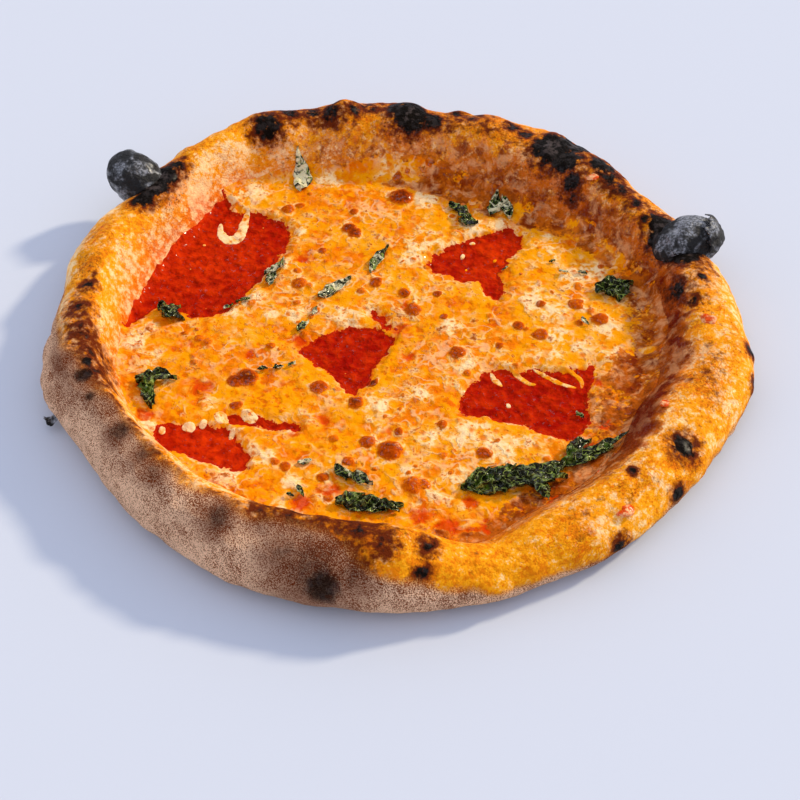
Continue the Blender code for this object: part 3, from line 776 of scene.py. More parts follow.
def dough_rings():
    """Every ring of the dough from the underside's centre to the floor's: a kind and a number."""
    rings = [("under", ring / UNDER_RINGS) for ring in range(UNDER_RINGS)]
    rings.append(("rim", -1.0))
    for start, count in ((-1, FOOT_STEPS), (0, BELLY_STEPS), (1, WALL_STEPS)):
        rings += [("rim", start + (step + 1) / count) for step in range(count)]
    return rings + [("floor", 1.0), ("floor", 0.0)]


def bearing_gap(one, other):
    """The angle between two bearings in degrees, from 0 to 180."""
    return abs((one - other + 180) % 360 - 180)


def leopard(point):
    """Chance burnt spots for the sides that nothing else describes: 0 to 1."""
    distances, centres = noise.voronoi(point / 0.021)
    chosen = abs(noise.cell(centres[0] * 5.1))
    size = 0.14 + 0.34 * chosen
    return smooth(distances[0], size * 1.5, size * 0.4) if chosen < 0.42 else 0.0


def rim_burn(point):
    """How burnt and how toasted the rim is at a point, from the spots near it."""
    burn, toast = 0.0, 0.0
    for bearing, way, radius, darkness in CHAR_SPOTS:
        away = (point - rim_place(bearing, way)).length / radius
        if away < 3.2:
            burn = max(burn, darkness * smooth(away, 1.55, 0.25))
            toast = max(toast, min(1.0, 0.50 + darkness) * smooth(away, 2.5, 0.6))
    return burn, toast


def paint_dough(vertex, layers, place, way, plain):
    """Sets what the dough's material reads there, in the layers that DOUGH_LAYERS names."""
    bearing = place.bearing
    burn, toast = rim_burn(plain)
    drift = waves(plain, (0.016, 1.0))
    hidden = smooth(bearing, 18, 30) * smooth(bearing, 172, 150) * smooth(way, 0.75, 0.45)
    spot = leopard(plain) * hidden
    burn = max(burn, 0.95 * spot)
    toast = max(toast, spot)
    back = math.exp(-(((bearing - 82) / 44) ** 4))
    left = math.exp(-(((bearing - 192) / 26) ** 4))
    toast = max(toast, back * smooth(abs(way - 0.90), 0.60, 0.10) * (0.62 + 0.5 * drift))
    toast = max(toast, left * smooth(abs(way - 0.80), 0.46, 0.12) * (0.66 + 0.7 * drift))
    toast = max(toast, smooth(abs(way - 0.80), 0.55, 0.15) * (0.18 + 0.35 * drift))
    east = math.exp(-(((bearing_gap(bearing, 0)) / 34) ** 4))
    toast = max(toast, east * smooth(abs(way - 0.85), 0.55, 0.15) * (0.38 + 0.45 * drift))
    flour_top = lobed(bearing, FLOUR_TOP, FLOUR_LOBES, power=4) + 0.16 * drift
    toast = max(
        toast,
        smooth(
            abs(way - flour_top - 0.04), 0.26, 0.0) * smooth(flour_top, 0.5, 0.8) * (0.50 + 0.7 * drift))
    stain_low = 1.62 - lobed(bearing, 0.0, STAIN_LOBES) + 0.10 * drift
    right = 0.5 + 0.5 * math.cos(math.radians(bearing - 330))
    crest = math.exp(-(((bearing - 150) / 34) ** 4)) * smooth(abs(way - 0.95), 0.45, 0.10)
    front = math.exp(-(((bearing - 278) / 22) ** 4))
    lane = noise.noise(Vector((0.45 * bearing, 1.3 * way, 7.0)))
    wall = smooth(way + 0.20 * lane, 1.04, 1.42)
    west = math.exp(-(((bearing - 172) / 30) ** 4)) * smooth(way, 1.0, 1.4)
    vertex[layers["char"]] = burn
    vertex[layers["toast"]] = toast
    vertex[layers["flour"]] = smooth(way, flour_top + 0.22, flour_top - 0.22)
    vertex[layers["foot"]] = smooth(way, flour_top - 0.05, flour_top - 1.0)
    vertex[layers["stain"]] = smooth(way, stain_low - 0.25, stain_low + 0.45)
    vertex[layers["gold"]] = (
        0.10 + 0.38 * right + 0.45 * back + 0.55 * crest + 0.45 * front + 0.35 * west + 0.2 * smooth(way, 1.5, 0.9))
    # Oil soaked into the lower inner wall, strongest at the back and right where the wall lies in shade: real oil
    # and painted shade both
    vertex[layers["soak_and_shade"]] = wall * min(1.4, lobed(bearing, 0.0, SOAK_AND_SHADE_LOBES, power=4))


def build_dough(settings):
    rings = dough_rings()
    bm = bmesh.new()
    layers = {name: bm.verts.layers.float.new(name) for name in DOUGH_LAYERS}
    spoke = [bm.verts.new((ring, 0, 0)) for ring in range(len(rings))]
    edges = [bm.edges.new(pair) for pair in zip(spoke, spoke[1:])]
    bmesh.ops.spin(
        bm, geom=spoke + edges, cent=(0, 0, 0), axis=(0, 0, 1),
        angle=TAU, steps=settings.segments, use_merge=True,
    )
    for vertex in bm.verts:
        kind, number = rings[round(vertex.co.xy.length)]
        bearing = bearing_of(vertex.co.x, vertex.co.y)
        place = slice_at(round(bearing * settings.segments / 360) % settings.segments * 360 / settings.segments)
        if kind == "rim":
            plain = place.plain_point(number)
            vertex.co = plain + (plain - place.core).normalized() * rim_lump(number, plain)
            paint_dough(vertex, layers, place, number, plain)
        elif kind == "under":
            foot = place.outer - FOOT_INSET
            vertex.co = place.outward * (foot * number)
            vertex[layers["flour"]] = vertex[layers["foot"]] = 1.0
            burn = leopard(vertex.co)
            vertex[layers["char"]] = 0.8 * burn
            vertex[layers["toast"]] = burn
        else:
            vertex.co = place.outward * ((place.toe - FLOOR_INSET) * number) + UP * DOUGH_THICKNESS
            vertex[layers["stain"]] = 1.0
    bmesh.ops.remove_doubles(bm, verts=bm.verts, dist=1e-6)
    bmesh.ops.recalc_face_normals(bm, faces=bm.faces)
    return bm


def dough_material(look):
    material, web = new_material("baked_dough")
    at = web.coordinates()
    char, toast, flour, foot, stain, gold, soak_and_shade = map(web.attribute, DOUGH_LAYERS)
    # Cream, golden and amber dough: wide drifts, then a net of finer mottles
    drift = web.noise(at, 62.0, 2.0, 0.5)
    net = web.noise(at, 300.0, 3.0, 0.60)
    fine = web.noise(at, 1050.0, 2.0, 0.55)
    tone = web.sum(
        "MULTIPLY_ADD", gold, 0.24, web.sum("MULTIPLY_ADD", drift, 0.45, web.sum("MULTIPLY", net, 0.75)))
    tone = web.sum("MULTIPLY_ADD", fine, 0.34, tone)
    dough = web.mix(web.rise(tone, 0.76, 0.96), look.cream, look.golden)
    dough = web.mix(web.sum("MULTIPLY", web.rise(tone, 0.95, 1.14), 0.66), dough, look.amber)
    # Fine creases that oil has reddened
    creases = web.sum(
        "MAXIMUM", web.lines(at, 120.0, 0.020, 1.2), web.sum(
            "MULTIPLY", web.lines(at, 310.0, 0.024), 0.7))
    creased = web.sum("MULTIPLY", creases, web.rise(web.noise(at, 48.0, 2.0), 0.42, 0.60))
    dough = web.mix(web.sum("MULTIPLY", creased, 0.50), dough, look.stain)
    # Red oil near the sauce, then the smeared inner wall, darker as painted shade where it lies in shade
    flecks = blotches(web, at, 260.0, 0.58, 0.67)
    soaked = web.sum("MULTIPLY", stain, web.sum("MULTIPLY_ADD", web.rise(net, 0.36, 0.62), 0.60, 0.25))
    dough = web.mix(web.sum("MAXIMUM", soaked, web.sum("MULTIPLY", flecks, 0.45)), dough, look.stain)
    uneven = web.sum("SUBTRACT", web.noise(at, 340.0, 5.0, 0.66), 0.5)
    oily = web.rise(web.sum("MULTIPLY_ADD", uneven, 2.0, soak_and_shade), 0.18, 0.72)
    dough = web.mix(oily, dough, smeared(web, at, look, soak_and_shade))
    # Browned freckles and toasted halos
    browned = web.sum("MULTIPLY_ADD", drift, 0.80, toast)
    pins = web.rise(web.noise(at, 760.0, 4.0, 0.68), 0.53, 0.62)
    freckle = web.sum("MULTIPLY", web.sum("MULTIPLY", pins, web.rise(browned, 0.55, 1.00)), 0.85)
    broad = web.sum("SUBTRACT", web.noise(at, 230.0, 3.0, 0.55), 0.5)
    patchy = web.sum("MULTIPLY_ADD", broad, 1.5, uneven)
    toasted = web.rise(web.sum("MULTIPLY_ADD", patchy, 1.2, toast), 0.34, 0.98)
    dough = web.mix(web.rise(toast, 0.08, 0.62), dough, web.mix(0.45, dough, look.amber))
    dough = web.mix(web.sum("MAXIMUM", toasted, freckle), dough, look.toast)
    # Semolina on the outside: toasted golden where it begins, greyer towards the foot
    grain = web.noise(at, 2100.0, 2.0, 0.6)
    smudge = blotches(web, at, 60.0, 0.42, 0.64)
    dusty = web.sum("MULTIPLY_ADD", foot, 0.05, web.sum("MULTIPLY_ADD", smudge, -0.10, grain))
    below = web.mix(web.sum("MULTIPLY", web.rise(flour, 0.95, 0.40), 0.55), look.rind, look.amber)
    rind = web.mix(
        web.rise(dusty, 0.385, 0.545), below,
        web.mix(web.sum("MULTIPLY", web.rise(flour, 0.95, 0.45), 0.70), look.flour, look.golden))
    rind = web.mix(
        web.sum("MULTIPLY", toast, web.sum("MULTIPLY_ADD", grain, -0.8, 1.15)), rind, look.toast)
    dusted = web.rise(web.sum("MULTIPLY_ADD", uneven, 1.3, flour), 0.22, 0.72)
    skin = web.mix(dusted, dough, rind)
    # Char: crisp and cracked where bare, a soft smoky patch under semolina. Its lighter grey patches lie on the
    # glossy facets: ash and painted sheen.
    crisp = web.rise(web.sum("ADD", patchy, char), 0.42, 0.78)
    smoky = web.sum("MULTIPLY", web.rise(web.sum("MULTIPLY_ADD", uneven, 0.8, char), 0.22, 1.00), 0.90)
    burnt = web.sum("MULTIPLY_ADD", web.sum("SUBTRACT", smoky, crisp), dusted, crisp)
    cracks = web.sum("MULTIPLY", web.rise(uneven, 0.06, 0.18), web.rise(char, 1.15, 0.55))
    # Lighter grey where the glossy facets are, more on the most burnt places: ash and painted sheen
    ash_and_sheen_share = web.sum("MULTIPLY_ADD", web.rise(char, 1.05, 1.25), 0.36, 0.10)
    soot_and_sheen = web.mix(web.sum("MULTIPLY", web.rise(net, 0.46, 0.64), ash_and_sheen_share), look.char, (0.13, 0.09, 0.08))
    ash_and_sheen = web.mix(web.sum("MULTIPLY", cracks, 0.8), soot_and_sheen, look.toast)
    skin = web.mix(burnt, skin, ash_and_sheen)
    # Dry outside, oiled inside, char with wet-looking facets
    shine = web.sum("MULTIPLY_ADD", stain, -0.25, 0.55)
    rough = web.sum("MAXIMUM", shine, web.sum("MULTIPLY", dusted, 0.88))
    height = relief(web, at, 330.0, 1100.0, 0.40)
    grainy = web.sum("MULTIPLY_ADD", web.sum("MULTIPLY", grain, dusted), 0.6, height)
    rugged = web.sum("MULTIPLY_ADD", web.sum("MULTIPLY", uneven, burnt), 2.0, grainy)
    rugged = web.sum("MULTIPLY_ADD", creased, -0.12, rugged)
    facets = web.sum("MULTIPLY", crisp, web.rise(net, 0.44, 0.60))
    wet = web.sum("MULTIPLY", web.sum("MAXIMUM", oily, stain), web.rise(fine, 0.50, 0.62))
    web.surface({
        "Base Color": skin, "Roughness": rough, "Specular IOR Level": 0.04, "Specular Tint": (1.0, 0.70, 0.40),
        "Coat Weight": web.sum(
            "MAXIMUM", web.sum("MULTIPLY", facets, 0.15), web.sum("MULTIPLY", wet, 0.4)),
        "Coat Roughness": 0.30, "Normal": web.bump(rugged, 0.0016),
    })
    return material


# ---------------------------------------------------------------------------------------------
# Sauce and cheese

CHEESE_LAYERS = ("cream", "brown", "thin", "shore", "smear_and_shade")


def inside(spot, outline):
    """Whether a place lies within a closed outline: an even or odd count of the edges it crosses."""
    within = False
    for (x1, y1), (x2, y2) in zip(outline, outline[1:] + outline[:1]):
        if (y1 > spot.y) != (y2 > spot.y) and spot.x < x1 + (spot.y - y1) * (x2 - x1) / (y2 - y1):
            within = not within
    return within


def path_distance(spot, path):
    best = 1.0
    for start, end in zip(path, path[1:]):
        start, end = Vector(start), Vector(end)
        nearest, share = geometry.intersect_point_line(spot, start, end)
        nearest = start.lerp(end, min(1.0, max(0.0, share)))
        best = min(best, (spot - nearest.to_2d()).length)
    return best


def bare_cover(spot):
    """How far a place lies outside every patch of bare sauce, in metres: below zero within one."""
    least = 1.0
    for outline in BARE_SAUCE:
        away = path_distance(spot, outline + outline[:1])
        least = min(least, -away if inside(spot, outline) else away)
    return least


def build_tomato_bits():
    """Soft lumps of tomato stuck to the rim."""
    bm = bmesh.new()
    stain = bm.verts.layers.float.new("stain")
    for number, (bearing, way, size) in enumerate(TOMATO_BITS):
        place = slice_at(bearing)
        spot = place.plain_point(way)
        spot += (spot - place.core).normalized() * rim_lump(way, spot)
        for vertex in bmesh.ops.create_icosphere(bm, subdivisions=3, radius=1)["verts"]:
            swell = 1 + 0.7 * noise.noise(vertex.co * 0.9 + Vector((number, 2.0, 5.0)))
            vertex.co = spot + Vector((
                vertex.co.x, vertex.co.y * 0.8, vertex.co.z * 0.40)) * (size * swell)
            vertex[stain] = 1.4
    return bm


def sauce_climb(bearing):
    return lobed(bearing, SAUCE_CLIMB, SAUCE_CLIMB_LOBES)


def build_sauce(settings):
    edge = 0.0035
    wall, = surface_of("crust_surface")
    bm = disc(
        settings.cuts,
        lambda bearing: slice_at(round(bearing, 1)).wall_radius(sauce_climb(bearing) + edge))
    thin = bm.verts.layers.float.new("thin")
    for vertex in bm.verts:
        point = vertex.co.copy()
        lumps = waves(point, (0.0065, 0.00055), (0.0032, 0.00050), (0.0018, 0.00022))
        lumps += bubble_rise(point, 0.0052, 0.50, 0.00065)
        level = SAUCE_TOP - 0.0001 + lumps + waves(point, (0.03, 0.0004))
        bearing = bearing_of(point.x, point.y)
        under = top_of([wall], point.x, point.y)
        reach = sauce_climb(bearing) + waves(point, (0.011, 0.0030), (0.004, 0.0015))
        film = -0.0007 + 0.0012 * smooth(reach - under, -0.0006, 0.0016)
        vertex.co.z = soft_max(level, under + film + 0.5 * lumps, 0.0026)
        vertex[thin] = max(
            smooth(under, SAUCE_TOP - 0.0004, SAUCE_TOP + 0.0030), places_near(point, THIN_SAUCE))
    close_below(bm, DOUGH_THICKNESS - 0.0006)
    return bm


def sauce_material(look):
    material, web = new_material("tomato_sauce")
    at = web.coordinates()
    thin = web.attribute("thin")
    mottle = blotches(web, at, 120.0, 0.40, 0.64)
    lumps = web.noise(at, 230.0, 2.0, 0.5)
    bright = web.sum("MULTIPLY_ADD", web.rise(lumps, 0.46, 0.68), 0.40, web.sum("MULTIPLY", mottle, 0.35))
    red = web.mix(web.sum("MULTIPLY_ADD", thin, 0.45, bright), look.deep, look.bright)
    # Darker red in the hollows between the lumps, half the deep colour: painted shade
    red = web.mix(
        web.sum("MULTIPLY", web.rise(lumps, 0.46, 0.32), 0.45), red,
        tuple(0.5 * part for part in look.deep))
    pips = specks(web, at, 300.0, 0.14, 0.07)
    red = web.mix(pips, red, srgb(236, 150, 60))
    # Wet beads that catch the light, in clusters
    clusters = blotches(web, at, 110.0, 0.42, 0.60)
    beads = web.rise(web.noise(at, 560.0, 2.0, 0.5), 0.62, 0.67)
    web.surface({
        "Base Color": red, "Roughness": 0.35, "Specular IOR Level": 0.01, "Specular Tint": (1.0, 0.30, 0.16),
        "Coat Weight": web.sum("MULTIPLY", beads, clusters), "Coat Roughness": 0.18,
        "Normal": web.bump(web.sum("MULTIPLY_ADD", beads, 0.14, lumps), 0.0022),
    })
    return material


class BlisterField:
    """The browned blisters of the cheese: the named ones and many small ones by chance."""

    def __init__(self, count):
        chance = random.Random(11)
        self.blisters = list(BROWN_BLISTERS)
        while len(self.blisters) < len(BROWN_BLISTERS) + count:
            radius = 0.118 * math.sqrt(chance.random())
            turn = chance.uniform(0, TAU)
            size = 0.0009 + 0.0016 * chance.random() ** 2
            place = (radius * math.cos(turn), radius * math.sin(turn))
            self.blisters.append((*place, size, chance.uniform(0.12, 0.42)))
        self.tree = kdtree.KDTree(len(self.blisters))
        for index, blister in enumerate(self.blisters):
            self.tree.insert((blister[0], blister[1], 0), index)
        self.tree.balance()

    def at(self, point):
        """Darkness and rise of the cheese there, and how much it belongs to a pale surround."""
        darkness, rise, halo = 0.0, 0.0, 0.0
        spot = point + noise.noise_vector(point / 0.0030) * 0.0007
        for _, index, away in self.tree.find_range((spot.x, spot.y, 0), 0.0085):
            _, _, size, depth = self.blisters[index]
            ring = 1 + 0.25 * smooth(abs(away - 0.85 * size), 0.3 * size, 0)
            darkness = max(darkness, depth * ring * smooth(away, size * 1.35, size * 0.40))
            rise = max(rise, 0.40 * size * smooth(away, size * 1.35, size * 0.2))
            halo = max(halo, smooth(away, size * 1.9, size * 1.25))
        return darkness, rise, halo


def places_near(point, places):
    """How much a point belongs to any of the round places: 0 to 1."""
    return max(
        math.exp(-(((point.x - x) ** 2 + (point.y - y) ** 2) / radius ** 2)) for x, y, radius in places)


def cheese_cover(point, under, bearing):
    """How far the cheese reaches past a place, from the bare sauce and from its line on the wall, in metres."""
    warp = noise.noise_vector(point / 0.0065) * 0.0018 + noise.noise_vector(point / 0.0026) * 0.0013
    spot = (point + warp).to_2d()
    shore = bare_cover(spot)
    for path, width in GASHES:
        shore = min(shore, path_distance(spot, path) - width)
    climb = lobed(bearing, CHEESE_CLIMB, CHEESE_CLIMB_LOBES) + waves(point, (0.016, 0.0030))
    return shore + 0.0010, (climb - under) * 0.9


def build_cheese(settings):
    wall, = surface_of("crust_surface")
    field = BlisterField(SMALL_BLISTERS)
    bm = disc(settings.cuts, lambda bearing: slice_at(round(bearing, 1)).wall_radius(
        lobed(bearing, CHEESE_CLIMB, CHEESE_CLIMB_LOBES) + 0.0035))
    layers = {name: bm.verts.layers.float.new(name) for name in CHEESE_LAYERS}
    for vertex in bm.verts:
        point = vertex.co.copy()
        bearing = bearing_of(point.x, point.y)
        under = top_of([wall], point.x, point.y)
        shore, climb = cheese_cover(point, under, bearing)
        cover = min(shore, climb)
        brown, rise, halo = field.at(point)
        patch = waves(point, (0.021, 0.9)) + waves(point + Vector((0.2, 0, 0)), (0.009, 0.5))
        cream = max(places_near(point, CREAM_PLACES), smooth(patch, 0.05, 0.75) * 0.6)
        lean = places_near(point, THIN_PLACES)
        full = settings.thickness * (1 + 0.30 * cream - 0.35 * lean)
        full -= 0.65 * full * smooth(under, SAUCE_TOP, SAUCE_TOP + 0.0045)
        taper = 0.0060 + 0.0035 * waves(point, (0.016, 1.0))
        edge = smooth(cover, -0.0008, 0.0006)
        body = smooth(cover, 0.0002, taper)
        texture = waves(point, (0.0060, 0.00060), (0.0030, 0.00042), (0.0016, 0.00022))
        texture += bubble_rise(point, 0.0048, 0.35, 0.00050)
        film = -0.0009 + 0.0013 * edge
        thickness = film + (full - 0.0004) * body + (0.25 * edge + 0.75 * body) * (texture + rise)
        vertex.co.z = soft_max(SAUCE_TOP - 0.0003, under, 0.0030) + thickness
        # Where the wall's smears run out over the cheese at the toe, the cheese takes the wall's colour: real
        # smears, and painted shade at the foot of the shaded wall
        near = slice_at(round(bearing, 1)).toe - point.xy.length
        reach = lobed(bearing, 0.0, SMEAR_AND_SHADE_LOBES) * (1 + waves(point, (0.019, 1.2), (0.007, 0.5)))
        smear_and_shade = smooth(near, 1.15 * reach + 0.001, 0.10 * reach) * smooth(reach, 0.0004, 0.0020)
        sheer = smooth(shore, 0.0048, 0.0000) * smooth(waves(point, (0.015, 1.0)), -0.05, 0.30)
        rim = 0.60 * smooth(shore, 0.0050, 0.0010) * (1 - sheer)
        oily = 0.55 * places_near(point, OILY_PLACES) * (1 - cream)
        vertex[layers["cream"]] = max(cream, rim, 0.45 * halo) * (1 - 0.8 * smear_and_shade) - oily
        vertex[layers["brown"]] = brown * edge
        vertex[layers["thin"]] = max(0.9 * sheer, lean)
        vertex[layers["shore"]] = smooth(shore, 0.0036, 0.0002)
        # Near the climb line this follows the soak lobes too, so it holds painted shade as well as smears
        vertex[layers["smear_and_shade"]] = max(
            0.9 * smear_and_shade, smooth(climb, 0.0060, 0.0002) * min(
                1.0, 1.3 * lobed(bearing, 0.0, SOAK_AND_SHADE_LOBES, power=4)))
    close_below(bm, DOUGH_THICKNESS - 0.0004)
    return bm


def curve_point(path, share):
    """A point on a smooth curve through the path's points, from 0 at its start to 1 at its end."""
    place = share * (len(path) - 1)
    start = min(int(place), len(path) - 2)
    t = place - start
    before, first, last, after = (
        Vector(path[min(max(index, 0), len(path) - 1)]) for index in range(start - 1, start + 3))
    bend = (2 * before - 5 * first + 4 * last - after) * t * t + (3 * first - before - 3 * last + after) * t ** 3
    return first + 0.5 * ((last - before) * t + bend)


def build_drips(trees):
    """Smooth drips of cheese on the sauce: balls drawn out along their paths and flattened."""
    bm = bmesh.new()
    layers = {name: bm.verts.layers.float.new(name) for name in CHEESE_LAYERS}
    for number, (path, width) in enumerate(DRIPS):
        detail = 10 * len(path)
        made = bmesh.ops.create_uvsphere(bm, u_segments=18, v_segments=detail, radius=1)["verts"]
        for vertex in made:
            along, across, up = vertex.co.z, vertex.co.x, vertex.co.y
            share = 0.5 + math.asin(min(1.0, max(-1.0, along))) / math.pi
            spot = curve_point(path, share)
            ahead = (curve_point(path, min(1, share + 0.02)) - curve_point(path, max(0, share - 0.02))).normalized()
            full = math.sqrt(max(0.0, 1 - along * along)) + 1e-6
            slim = full ** 0.60 * (1 + 0.18 * noise.noise(Vector((3 * share * len(path), number, 0.5))))
            spot += Vector((-ahead.y, ahead.x)) * (across / full * slim * width)
            ground = top_of(trees, spot.x, spot.y)
            vertex.co = (spot.x, spot.y, ground + up / full * slim * min(width * 0.26, 0.0005))
            vertex[layers["cream"]] = 1.1 - 1.4 * smooth(width, 0.0016, 0.0010)
    bmesh.ops.recalc_face_normals(bm, faces=bm.faces)
    return bm


def cheese_material(look, wall, sauce):
    material, web = new_material("melted_cheese")
    at = web.coordinates()
    cream, brown, thin, shore, smear_and_shade = map(web.attribute, CHEESE_LAYERS)
    # Marbled pale curds in amber oil, darker in the hollows
    drawn = web.noise(at, 95.0, 3.0, 0.55, 0.6)
    curds = web.noise(at, 240.0, 3.0, 0.55, 0.3)
    finer = web.noise(at, 800.0, 2.0, 0.5)
    both = web.sum("MULTIPLY_ADD", drawn, 0.46, web.sum("MULTIPLY", curds, 0.54))
    raised = web.sum("MULTIPLY_ADD", cream, 0.12, both)
    oil = web.mix(blotches(web, at, 70.0, 0.44, 0.60), look.amber, look.orange)
    oil = web.mix(web.sum("MULTIPLY", web.rise(raised, 0.45, 0.36), 0.70), oil, look.deep)
    cheese = web.mix(web.sum("MULTIPLY", web.rise(raised, 0.495, 0.62), 0.90), oil, look.cream)
    pale = web.rise(web.sum("MULTIPLY_ADD", cream, 0.05, raised), 0.565, 0.68)
    cheese = web.mix(web.sum("MULTIPLY", pale, 0.95), cheese, look.curd)
    # Drawn threads between the curds
    shown = web.rise(web.sum("MULTIPLY_ADD", cream, 0.10, web.noise(at, 75.0, 2.0)), 0.44, 0.62)
    threads = web.sum("MULTIPLY", web.lines(at, 125.0, 0.060, 0.3), shown)
    cheese = web.mix(web.sum("MULTIPLY", threads, 0.42), cheese, look.curd)
    # Sauce showing through where it is thin
    lean = web.rise(web.sum("MULTIPLY_ADD", web.sum("SUBTRACT", both, 0.5), -2.2, thin), 0.40, 1.00)
    cheese = web.mix(web.sum("MULTIPLY", lean, 0.85), cheese, look.red)
    # Craters: an oil-brown middle with a pale surround
    share = web.sum("MULTIPLY_ADD", web.sum("MAXIMUM", cream, 0.0), 0.26, 0.14)
    wide_fill, wide_rim, wide_halo = craters(web, at, 190.0, 0.38, share)
    small_fill, _, small_halo = craters(web, at, 400.0, 0.42, share)
    halo = web.sum("MULTIPLY", web.sum("MAXIMUM", wide_halo, small_halo), web.sum("SUBTRACT", 1.0, thin))
    cheese = web.mix(web.sum("MULTIPLY", halo, 0.35), cheese, look.cream)
    fill = web.sum("MAXIMUM", wide_fill, small_fill)
    cheese = web.mix(web.sum("MULTIPLY", fill, 0.85), cheese, look.hollow)
    darker = web.sum("MULTIPLY", web.sum("MULTIPLY", wide_rim, web.rise(curds, 0.48, 0.60)), 0.35)
    cheese = web.mix(darker, cheese, look.blister)
    # Browned blisters, amber at the edge and scorched in the middle
    ragged = web.sum("MULTIPLY_ADD", web.sum("SUBTRACT", curds, 0.5), 0.7, brown)
    uneven = web.sum("MULTIPLY_ADD", web.sum("SUBTRACT", finer, 0.5), 0.9, ragged)
    cheese = web.mix(web.rise(ragged, 0.04, 0.26), cheese, look.hollow)
    cheese = web.mix(web.rise(uneven, 0.16, 0.62), cheese, look.blister)
    cheese = web.mix(web.sum("MULTIPLY", web.rise(uneven, 0.56, 1.10), 0.9), cheese, look.scorch)
    # Ragged edges: against the wall's smears, which carry its painted shade, and against the bare sauce
    frayed = web.sum(
        "MULTIPLY_ADD", web.sum("SUBTRACT", curds, 0.5), 1.6, web.sum("SUBTRACT", finer, 0.5))
    wavering = web.sum("MULTIPLY_ADD", web.sum("SUBTRACT", drawn, 0.5), 2.8, frayed)
    smears = web.rise(web.sum("ADD", wavering, smear_and_shade), 0.34, 0.76)
    cheese = web.mix(smears, cheese, smeared(web, at, wall, web.sum("MULTIPLY", smear_and_shade, 0.9)))
    bare = web.rise(web.sum("ADD", frayed, shore), 0.56, 0.66)
    cheese = web.mix(web.sum("MULTIPLY", web.rise(shore, 0.10, 0.50), 0.45), cheese, look.orange)
    cheese = web.mix(bare, cheese, web.mix(0.35, sauce.deep, sauce.bright))
    curdled = web.sum("MULTIPLY_ADD", both, 1.1, web.sum("MULTIPLY", fill, -0.08))
    curdled = web.sum("MULTIPLY_ADD", threads, 0.08, curdled)
    domed = web.sum("MULTIPLY_ADD", web.rise(brown, 0.0, 0.6), 0.35, curdled)
    # Beads of fat that catch the light
    wet = web.noise(at, 560.0, 2.0, 0.5)
    gathered = web.sum("MAXIMUM", web.rise(brown, 0.15, 0.45), blotches(web, at, 130.0, 0.52, 0.64))
    web.surface({
        "Base Color": cheese, "Roughness": 0.35, "Specular IOR Level": 0.02, "Specular Tint": (1.0, 0.60, 0.25),
        "Coat Weight": web.sum("MULTIPLY", web.rise(wet, 0.56, 0.60), gathered), "Coat Roughness": 0.20,
        "Normal": web.bump(
            web.sum(
                "MULTIPLY_ADD", web.sum("MULTIPLY", web.rise(wet, 0.56, 0.70), gathered), 0.20, domed),
            0.0022),
    })
    return material


# ---------------------------------------------------------------------------------------------
# Burst blisters

BLISTER_DETAIL = 5
# Flat sides of each blister: their direction, X away from the pizza's axis, and distance from the middle
LEFT_PLANES = (
    ((0.2, 0.5, 1.0), 0.86), ((1, -0.4, 0.2), 0.88), ((0.1, -1, 0.5), 0.82), ((0.3, 1, -0.2), 0.90))
RIGHT_PLANES = (((0.8, -0.3, 0.9), 0.90), ((0.3, -1, 0.3), 0.88), ((-0.5, 0.3, 1), 0.90))


def blister_frame(place):
    """Where a burst blister stands and how it is turned, longest away from the axis."""
    bearing, distance, height, half_sizes = place
    turn = Matrix.Rotation(math.radians(bearing), 4, "Z")
    shift = Matrix.Translation(slice_at(round(bearing, 1)).outward * distance + UP * height)
    return shift @ turn @ Matrix.Diagonal((*half_sizes, 1))


def build_blister(place, planes, skirt, seed):
    """A hollow knob of burnt dough: a ball flattened by a few planes, drawn out towards the rim."""
    bm = bmesh.new()
    bmesh.ops.create_icosphere(bm, subdivisions=BLISTER_DETAIL, radius=1)
    shift = Vector((seed, 2 * seed, 3 * seed))
    for vertex in bm.verts:
        way = vertex.co.normalized()
        reach = 1.0
        for normal, distance in planes:
            facing = way.dot(Vector(normal).normalized())
            if facing > 0.05:
                reach = min(reach, distance / facing)
        inward = max(0.0, way.dot(Vector((-0.85, 0, -0.53))))
        swell = waves(way + shift, (0.9, 0.07), (0.40, 0.06), (0.16, 0.035), (0.07, 0.018))
        vertex.co = way * (reach * (0.98 + swell) + skirt * inward ** 3)
    bmesh.ops.smooth_vert(
        bm, verts=bm.verts, factor=0.5, use_axis_x=True, use_axis_y=True, use_axis_z=True)
    bmesh.ops.transform(bm, verts=bm.verts, matrix=blister_frame(place))
    bmesh.ops.recalc_face_normals(bm, faces=bm.faces)
    return bm


def build_flake(place):
    """The torn skin of the right blister: a curled ragged patch that stands at its outer side."""
    bm = bmesh.new()
    bmesh.ops.create_grid(bm, x_segments=36, y_segments=24, size=1)
    frame_of = blister_frame(place)
    for vertex in bm.verts:
        across, up = vertex.co.x, vertex.co.y
        ragged = 1 + 0.25 * noise.noise(Vector((across * 2.3, up * 2.3, 5.0)))
        turn = -0.55 + 0.75 * across * ragged
        lift = 0.62 + 0.55 * up * ragged
        bulge = 1.06 + 0.22 * smooth(up, -0.2, 1.0) + 0.05 * noise.noise(Vector((across * 3, up * 3, 1.0)))
        direction = Vector((
            math.cos(turn) * math.cos(lift), math.sin(turn) * math.cos(lift), math.sin(lift)))
        vertex.co = frame_of @ (direction * bulge)
    bmesh.ops.recalc_face_normals(bm, faces=bm.faces)
    return bm


def build_crumb():
    """A curled charred crumb that sticks out of the rim's foot."""
    (x, y, z), bearing, length = CHAR_CRUMB
    bm = bmesh.new()
    bmesh.ops.create_icosphere(bm, subdivisions=4, radius=0.5)
    turn = Matrix.Rotation(math.radians(bearing), 3, "Z")
    for vertex in bm.verts:
        shape = vertex.co * (1 + 1.3 * noise.noise(vertex.co * 3.1) + 0.5 * noise.noise(vertex.co * 7.0))
        shape.y *= 0.6
        shape.z = 0.25 * shape.z + 0.9 * shape.x * shape.x
        vertex.co = Vector((x, y, z)) + turn @ (shape * length)
    return bm


